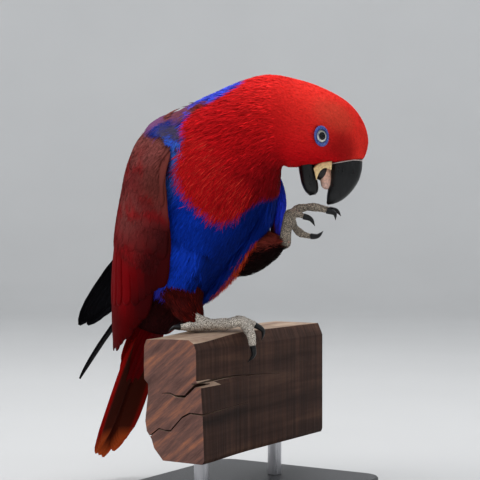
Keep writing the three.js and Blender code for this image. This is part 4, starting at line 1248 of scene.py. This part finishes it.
TAIL_ROOT = np.array([-81, MIDLINE, 8])
TAIL_SLOPE = 63 * RAD
TAIL_LENGTH = 146
TAIL_TOP = np.array([-math.sin(TAIL_SLOPE), 0, math.cos(TAIL_SLOPE)])
TAIL_ALONG = np.array([-math.cos(TAIL_SLOPE), 0, -math.sin(TAIL_SLOPE)])
TAIL_DARK = srgb(80, 30, 18)
TAIL_RED = srgb(186, 22, 18)
TAIL_ORANGE = srgb(226, 96, 42)


def tail_point(distance, left, above):
    return (
        TAIL_ROOT + np.asarray(distance)[..., None] * TAIL_ALONG + np.asarray(above)[..., None] * TAIL_TOP
        + np.asarray(left)[..., None] * np.array([0, 1, 0])
    )


def add_tail():
    plan = [(1, 0, 2.5), (-1, 1, 3.5)]
    plan += [(side, pair + 1, 9.7 + pair * 0.3) for pair in range(1, 6) for side in (-1, 1)]
    vanes = []
    for side, tier, left in plan:
        length = TAIL_LENGTH - tier * 3.6

        def place(s, across, height):
            above = 3.6 - tier * (1.05 - 0.3 * s) - 1.5 * s
            out = side * left + across
            return tail_point(14 + (length - 14) * s, out, above - 0.01 * out * out + height)

        def colour(s, k):
            rim = smoothstep(k * side, 0.45, 0.95)
            shade = mixed(np.broadcast_to(TAIL_DARK, s.shape + (3,)), TAIL_RED, 0.9 * rim)
            return mixed(shade, TAIL_ORANGE, 0.8 * smoothstep(s, 0.86, 1))

        vanes.append(vane(place, 19, length, 0, colour, len(vanes)))
    for below in (1, -1):  # the coverts over and under the tail's root
        for n in range(9):
            spread = (n - 4) / 4
            reach = 62 - 16 * abs(spread) + (n % 2) * 8

            def place(s, across, height):
                out = spread * (9 + 4 * s) + across
                above = below * (11 - 8.6 * s - 0.02 * out * out * (1 - s)) + height
                return tail_point(-16 + (reach + 16) * s, out, above)

            shade = (CRIMSON if below < 0 else TAIL_RED) * RANDOM.uniform(0.7, 1.1)
            vanes.append(vane(place, 13, reach, 0, plain(shade), len(vanes)))
    piece = vane_object("tail_feathers", vanes)
    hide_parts("tail")


# Eyes, lids and bill


PUPIL = srgb(10, 11, 16)
IRIS_INNER = srgb(38, 32, 30)
CREAM = srgb(255, 252, 236)
IRIS_OUTER = srgb(30, 28, 32)
# How far out from the middle of the eye each of its rings reaches, in degrees of the ball.
EYE_RINGS = [
    (0, PUPIL), (22, PUPIL), (23.5, IRIS_INNER), (28, IRIS_INNER), (29.5, CREAM), (44.5, CREAM), (46.5, IRIS_OUTER),
    (90, IRIS_OUTER),
]


def add_eyes():
    for side, name in ((-1, "right"), (1, "left")):
        centre, axis, long_way, short_way = eye_frame(side, EYE_TURN)
        polar = np.concatenate([np.linspace(0, 60, 61), np.linspace(64, 180, 24)]) * RAD
        turn = circle(72)
        tall = np.sin(polar)[:, None] * np.cos(turn)
        wide = np.sin(polar)[:, None] * np.sin(turn)
        rings = centre + EYE_RADIUS * (
            np.cos(polar)[:, None, None] * axis + tall[..., None] * long_way + wide[..., None] * short_way
        )
        reach = np.hypot(tall, wide / 0.86)
        reach = np.where(polar[:, None] < 1.2, np.arcsin(reach.clip(0, 1)) / RAD, 90)
        reach = np.append(reach.ravel(), [0, 90])
        places = [place for place, _ in EYE_RINGS]
        shade = np.stack([np.interp(reach, places, [ring[k] for _, ring in EYE_RINGS]) for k in range(3)], -1)
        eye = solid("eyeball_" + name, rings, EYE_LOOK, shade)
        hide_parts("eye_" + name)
        add_lid(side, name)


def ring_surface(side, half, tube_radii, out):
    """A ring round the eye's opening as a surface: t is 0 at its inner edge and 3 at its outer edge."""
    centre, axis, long_way, short_way = eye_frame(side, LID_TURN, LID_DROOP)
    middle = centre + axis * out + long_way * LID_SHIFT

    def surface(t, angle, grow=0.0):
        b = math.pi * (1 - np.asarray(t) / 3)
        a = np.asarray(angle) * RAD
        from_middle = np.cos(b) * (tube_radii[0] * (1 - 0.45 * np.sin(a) ** 2) + grow)
        height = np.sin(b) * (tube_radii[1] + grow)
        return (
            middle + (np.cos(a) * (half[0] + from_middle))[..., None] * long_way
            + (np.sin(a) * (half[1] + from_middle))[..., None] * short_way + height[..., None] * axis
        )

    return surface


def ring_object(name, surface, colour):
    t, a = grid(np.linspace(0, 6, 24, endpoint=False), np.arange(0, 360, 4.0))
    points = surface(t, a)
    rows, columns = points.shape[:2]
    faces = grid_faces(rows + 1, columns, closed=True) % (rows * columns)
    ring = make_object(name, points.reshape(-1, 3), faces, LID_LOOK, colour)


def add_lid(side, name):
    """The eye's dark rim, and round it a ring of tiny blue feathers, tilted as the opening is."""
    ring_object("lid_rim_" + name, ring_surface(side, (5.4, 4.2), (0.55, 0.6), LID_OUT - 0.7), srgb(34, 34, 44))
    surface = ring_surface(side, (6.5, 4.7), (1.5, 1.3), LID_OUT - 0.5)
    # painted shade: the ring under the tiny feathers is painted darker than they are, as shade between them
    ring_object("lid_" + name, surface, RING_BLUE * 0.6)
    t, angle = scattered(surface, 2600, (0.3, 2.8), (0, 360))
    count = len(t)
    low, high = np.full(count, -0.2), RANDOM.uniform(0.1, 0.5, count)
    long, half = RANDOM.uniform(1.0, 1.9, count), RANDOM.uniform(0.12, 0.26, count)
    centres, sides = laid(surface, t, angle, long, half, RANDOM.normal(0, 22, count), low, high, 1, 3)
    pale = RANDOM.uniform(0, 1, count) ** 2
    shade = tinted(mixed(RING_BLUE, srgb(136, 156, 214), pale), 0.15)
    shade = mixed(shade, VIOLET, 0.7 * smoothstep(RANDOM.uniform(0, 1, count), 0.6, 0.9))
    roots = np.stack([0.5 + side * (0.275 + 0.02 * np.cos(angle * RAD)), 0.8 + 0.02 * np.sin(angle * RAD)], -1)
    tuft_object("lid_feathers_" + name, centres, sides, roots, shade, 0.7)


BILL_HALF_WIDTH = 10.5
UPPER_BLUNTNESS, LOWER_BLUNTNESS = 0.8, 0.7
# The bill's halves from the base to the tip: a point on the outer edge, one on the inner, and the width's share.
UPPER_BILL = [
    ((121, 145), (96.5, 141), 1), ((121.4, 138), (96, 136), 1), ((120.8, 130), (95.8, 129), 0.98),
    ((118, 121.4), (95.2, 121.6), 0.89), ((112.4, 113.2), (93.8, 115.4), 0.74), ((105.6, 107), (93, 110.5), 0.54),
    ((99.2, 104), (92.8, 106.8), 0.3), ((93.8, 103), (92.6, 104.4), 0.08),
]
LOWER_BILL = [
    ((70.5, 141), (82, 140), 0.84), ((70.2, 133.5), (83.4, 131.2), 0.84), ((71.2, 126.5), (84.8, 124.8), 0.82),
    ((72.8, 119.5), (86, 118.6), 0.74), ((75.6, 113.8), (85.8, 114), 0.57), ((79, 110.4), (84, 111.4), 0.3),
]


def bill_point(plan, bluntness, t, a, grow=0.0):
    """A point of a half of the bill: t along it from its base, a round it from its outer edge."""
    table = np.array([(*outer, *inner, wide * BILL_HALF_WIDTH) for outer, inner, wide in plan])
    rows = spline(table, t)
    bend = (1 + np.cos(a)) / 2
    round_ = np.sign(np.sin(a)) * np.abs(np.sin(a)) ** bluntness
    across = rows[..., 2] * (1 - bend) + rows[..., 0] * bend + grow * np.cos(a)
    height = rows[..., 3] * (1 - bend) + rows[..., 1] * bend
    return head_point(across, height, (rows[..., 4] + grow) * round_)


def bill(name, plan, bluntness):
    piece = solid(name, bill_point(plan, bluntness, *grid(np.linspace(0, len(plan) - 1, 64), circle(56))), HORN)
    return piece


def add_cere():
    """The thin pale line of skin between the face's feathers and the upper bill."""
    a = np.linspace(0, 2 * math.pi, 73)
    t = np.interp(180 - np.abs(a / RAD - 180), [0, 45, 70, 110, 180], [1.02, 0.9, 0.84, 0.95, 1.1])
    path = bill_point(UPPER_BILL, UPPER_BLUNTNESS, t, a, 0.15)
    cere = solid("cere", limb_rings(path, np.full(73, 0.42), 216, 10), FLESH, CERE)


TONGUE_RADII = [4.4, 5.0, 5.5, 5.5, 4.8]
TONGUE_PINK = srgb(240, 196, 182)
TONGUE_ORANGE = srgb(240, 176, 116)
GAPE = srgb(255, 222, 160)
# painted shade: the near black of the mouth's hollow
THROAT_SHADE = srgb(22, 7, 7)
CERE = srgb(196, 184, 178)


def tongue_colour(points):
    share = (points[:, 2] - points[:, 2].min()) / np.ptp(points[:, 2])
    return mixed(TONGUE_PINK, TONGUE_ORANGE, share)


def add_mouth():
    upper, lower = bill("bill_upper", UPPER_BILL, UPPER_BLUNTNESS), bill("bill_lower", LOWER_BILL, LOWER_BLUNTNESS)
    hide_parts("upper_mandible")
    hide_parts("lower_mandible")
    path = [head_point(89, 144), head_point(91.2, 134), head_point(92.2, 125), head_point(92.6, 120)]
    forward = (*turned(1, 0, HEAD_TURN), 0)
    rings = rounded(limb_rings(path, TONGUE_RADII, 40, CORE_SIDES, 0.95, forward))
    tongue = solid("tongue_flesh", rings, FLESH, tongue_colour)
    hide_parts("tongue")
    add_cere()
    add_gape()


def add_gape():
    """The mouth's bare skin: an arch from one half of the bill to the other on both sides, with a
    folded throat behind. The throat and the arch's middle are painted near black, as painted shade deep in the mouth."""
    upper = np.array([(81.6, 132), (84.5, 135), (88, 136.6), (92, 137.4), (96.4, 138)], float)
    lower = np.array([(84.2, 122.5), (85.6, 127), (88, 130.6), (91.4, 132.2), (96, 130.5)], float)
    s, across = np.linspace(0, 4, 33), np.linspace(0, 9, 46)
    top, edge = spline(upper, s), spline(lower, s)
    around = [
        (edge, -8.2), ((edge * 2 + top) / 3, -8.9), ((edge + top * 2) / 3, -8.9), (top, -8.2), (top + (0, 1), -4)]
    around += [(line, -left) for line, left in around[::-1]]
    lines = spline(np.array([head_point(line[:, 0], line[:, 1], left) for line, left in around]), across)
    rows, columns = lines.shape[:2]
    # painted shade: the arch's middle, deep in the mouth, is painted the throat's near black
    shade = mixed(THROAT_SHADE, GAPE, np.repeat(smoothstep(np.abs(across - 4.5), 1.0, 2.2), columns))
    gape = make_object("gape_skin", lines.reshape(-1, 3), grid_faces(rows, columns), FLESH, shade)
    thick = gape.modifiers.new("thick", "SOLIDIFY")
    thick.thickness = 0.8 * MM
    apply_modifiers(gape)
    polar, turn = grid(np.linspace(4, 176, 30) * RAD, circle(40))
    fold = 1 + 0.04 * np.cos(9 * turn) * np.sin(polar)
    rings = head_point(
        88.8 + 6.8 * np.sin(polar) * np.cos(turn) * fold, 131 + 8.5 * np.cos(polar),
        6.8 * np.sin(polar) * np.sin(turn) * fold,
    )
    # painted shade: the throat is painted near black as the shade in the mouth's hollow
    throat = solid("throat_shade", rings, FLESH, THROAT_SHADE)


# Feet


def foot_point(x, y, z):
    """A point of the standing foot, whose toes point where the head does."""
    return (*turned(x, y, HEAD_TURN), z)


ANKLE, BALL = (-4, 0.5, 6.2), (-4, 0, 5.5)
# For each foot: how its points are placed, the shank and its radii, and each toe's path, radius and claw.
FEET = {
    "right": (foot_point, [(-20, 3, 15), (-13, 2, 10), ANKLE], [5.4, 5.2, 5.4], [
        ([BALL, (12, -3, 6.5), (25, -5, 8), (31.5, -7, -1), (33, -9, -9)], 4.6,
         [(33.2, -9.2, -10.5), (34, -10, -18), (29, -9.6, -24)]),
        ([(-4, 1, 5.5), (10, 5, 6.5), (23, 9, 8.5), (34, 11.5, 5.5)], 4.2,
         [(35.4, 11.8, 4.8), (42, 12.5, 0), (41, 12.8, -8)]),
        ([(-4, 1, 5.5), (-13, 6, 4.8), (-21, 11, 4.4)], 4, [(-22.2, 11.7, 4.3), (-27, 14.5, 4.2), (-31, 16.5, 1)]),
        ([BALL, (-14, -4, 4.6), (-24, -7, 4.2)], 3.9, [(-25.3, -7.3, 4.2), (-30, -8.6, 4.1), (-34.5, -9.6, 1)]),
    ]),
    "left": (head_point, [LEFT_HEEL, (60.4, 83, 1.5), LEFT_PALM], [4.8, 4.4, 5.2], [
        ([LEFT_PALM, (69.5, 99.6, -2), (80, 101.2, -4), (91, 98.8, -5.5)], 3.3,
         [(92.4, 98.3, -5.7), (98.6, 96, -6), (99.4, 90.6, -6)]),
        ([LEFT_PALM, (66, 96.6, -5), (69.4, 95.6, -9.5), (72.4, 94.2, -11.6)], 3.2,
         [(73.5, 93.6, -11.8), (79.2, 91.4, -12.4), (82.6, 85.8, -12.4)]),
        ([LEFT_PALM, (69, 99, 5), (81, 101.4, 7.5), (94, 99.8, 7.5)], 3.3,
         [(95.4, 99.4, 7.4), (101.2, 98.4, 7), (104.8, 94, 6.5)]),
        ([LEFT_PALM, (66, 87, 6.5), (72, 80.5, 9), (79, 78, 8)], 3.3,
         [(80.3, 77.8, 7.8), (86, 78, 7), (90.5, 82, 6.5)]),
    ]),
}
TOE_KNOTS, TOE_RIDGES = 3, 9
TOE_TAPER = np.array([1, 1.08, 0.88, 0.98, 0.62])
CLAW_RADII = [2.5, 2.15, 1.4, 0.2]
TOE_NAMES = ["front_outer", "front_inner", "back_inner", "back_outer"]


def add_feet():
    for side, (placed, shank, shank_radii, toes) in FEET.items():
        in_place = lambda path: np.array([placed(*point) for point in path], float)
        parts = [tube(rounded(limb_rings(in_place(shank), shank_radii, 24, CORE_SIDES)))]
        for path, radius, _ in toes:
            rings = limb_rings(in_place(path), radius * TOE_TAPER, 88, CORE_SIDES)
            u = np.linspace(0, 2 * math.pi, len(rings))
            knots = 1 + 0.05 * np.cos(u * TOE_KNOTS) + 0.04 * np.cos(u * TOE_RIDGES)
            middle = rings.mean(1, keepdims=True)
            parts.append(tube(rounded(middle + (rings - middle) * knots[:, None, None])))
        foot = fused(make_object("foot_skin_" + side, *joined(parts), FOOT_LOOKS[side]))
        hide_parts("foot_" + side)
        for (_, _, claw_path), title in zip(toes, TOE_NAMES):
            rings = limb_rings(in_place(claw_path), CLAW_RADII, 24, 20)
            claw = solid(f"claw_horn_{side}_{title}", rings, HORN)
            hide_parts(f"claw_{side}_{title}")


# Timber and stand: the CAD's own nodes with better finishes


def finish_cad_nodes():
    for title, look in (("perch", TIMBER), ("stand_base", PAINT), ("stand_rod_1", STEEL), ("stand_rod_2", STEEL)):
        mesh = frame["nodes"][title].data
        mesh.materials.clear()
        mesh.materials.append(look)


# Stage


CAMERA_AT = np.array([553.282, -827.299, 77.839])  # from the timber's near top front corner
CAMERA_YAW, CAMERA_PITCH = 31.9324 * RAD, 0.1686 * RAD
LENS = 97.5
STUDIO_SIDES = 96


def add_camera():
    camera = bpy.data.cameras.new("camera")
    camera.lens = LENS
    camera.sensor_width = 36
    obj = bpy.data.objects.new("camera", camera)
    obj.location = (CAMERA_AT + TIMBER_ORIGIN) * MM
    obj.rotation_euler = (math.pi / 2 - CAMERA_PITCH, 0, CAMERA_YAW)
    bpy.context.scene.collection.objects.link(obj)
    bpy.context.scene.camera = obj


def add_light(name, place, size, power):
    light = bpy.data.lights.new(name, "AREA")
    light.shape = "DISK"
    light.size = size
    light.energy = power
    obj = bpy.data.objects.new(name, light)
    obj.location = place
    obj.rotation_euler = (Vector((0, 0, 0.2)) - Vector(place)).to_track_quat("-Z", "Y").to_euler()
    bpy.context.scene.collection.objects.link(obj)


def add_stage():
    """A pale round studio: its floor runs up into its wall, and light falls in from above."""
    look = material("studio", mottled(3.0, 0.97, 1.0, detail=2.0), Roughness=0.95, Specular_IOR_Level=0.1)
    bend = np.linspace(0, 90, 16)[1:] * RAD
    profile = [(0.02, 0), (1.0, 0), (2.6, 0)] + [(2.6 + 1.2 * math.sin(f), 1.2 - 1.2 * math.cos(f)) for f in bend]
    profile += [(3.8, 2.2), (3.8, 3.2)]
    around = np.arange(STUDIO_SIDES)
    rings = np.array([[(r * math.cos(a), r * math.sin(a), z) for a in circle(STUDIO_SIDES)] for r, z in profile])
    points = np.concatenate([rings.reshape(-1, 3), [(0, 0, 0)]])
    middle = np.stack([np.full(STUDIO_SIDES, len(points) - 1), around, (around + 1) % STUDIO_SIDES], -1)
    faces = [grid_faces(len(profile), STUDIO_SIDES, closed=True)[:, ::-1], middle]
    pale = np.interp(points[:, 2], [0, 0.1, 1.5], [0.5, 0.52, 0.78])
    floor = make_object("floor", points, faces, look, pale[:, None], in_bird=False)
    floor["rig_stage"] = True
    sky = bpy.data.worlds.new("studio")
    sky.use_nodes = True
    shade = sky.node_tree.nodes["Background"].inputs
    shade["Color"].default_value, shade["Strength"].default_value = (0.94, 0.97, 1.0, 1), 1.15
    bpy.context.scene.world = sky
    bpy.context.scene.view_settings.view_transform = "Standard"
    add_light("key", (-0.6, -0.9, 1.5), 0.8, 10)
    add_light("top", (0.1, 0.3, 1.7), 1.2, 15)


add_camera()
add_stage()
add_skin()
add_coat()
add_limb_coats()
add_wing("right")
add_mantle()
add_wing("left")
add_tail()
add_eyes()
add_mouth()
add_feet()
finish_cad_nodes()

for made in bpy.context.scene.objects:
    if made.type == "MESH" and made.parent is None and not made.get("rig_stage"):
        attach(made, "root")
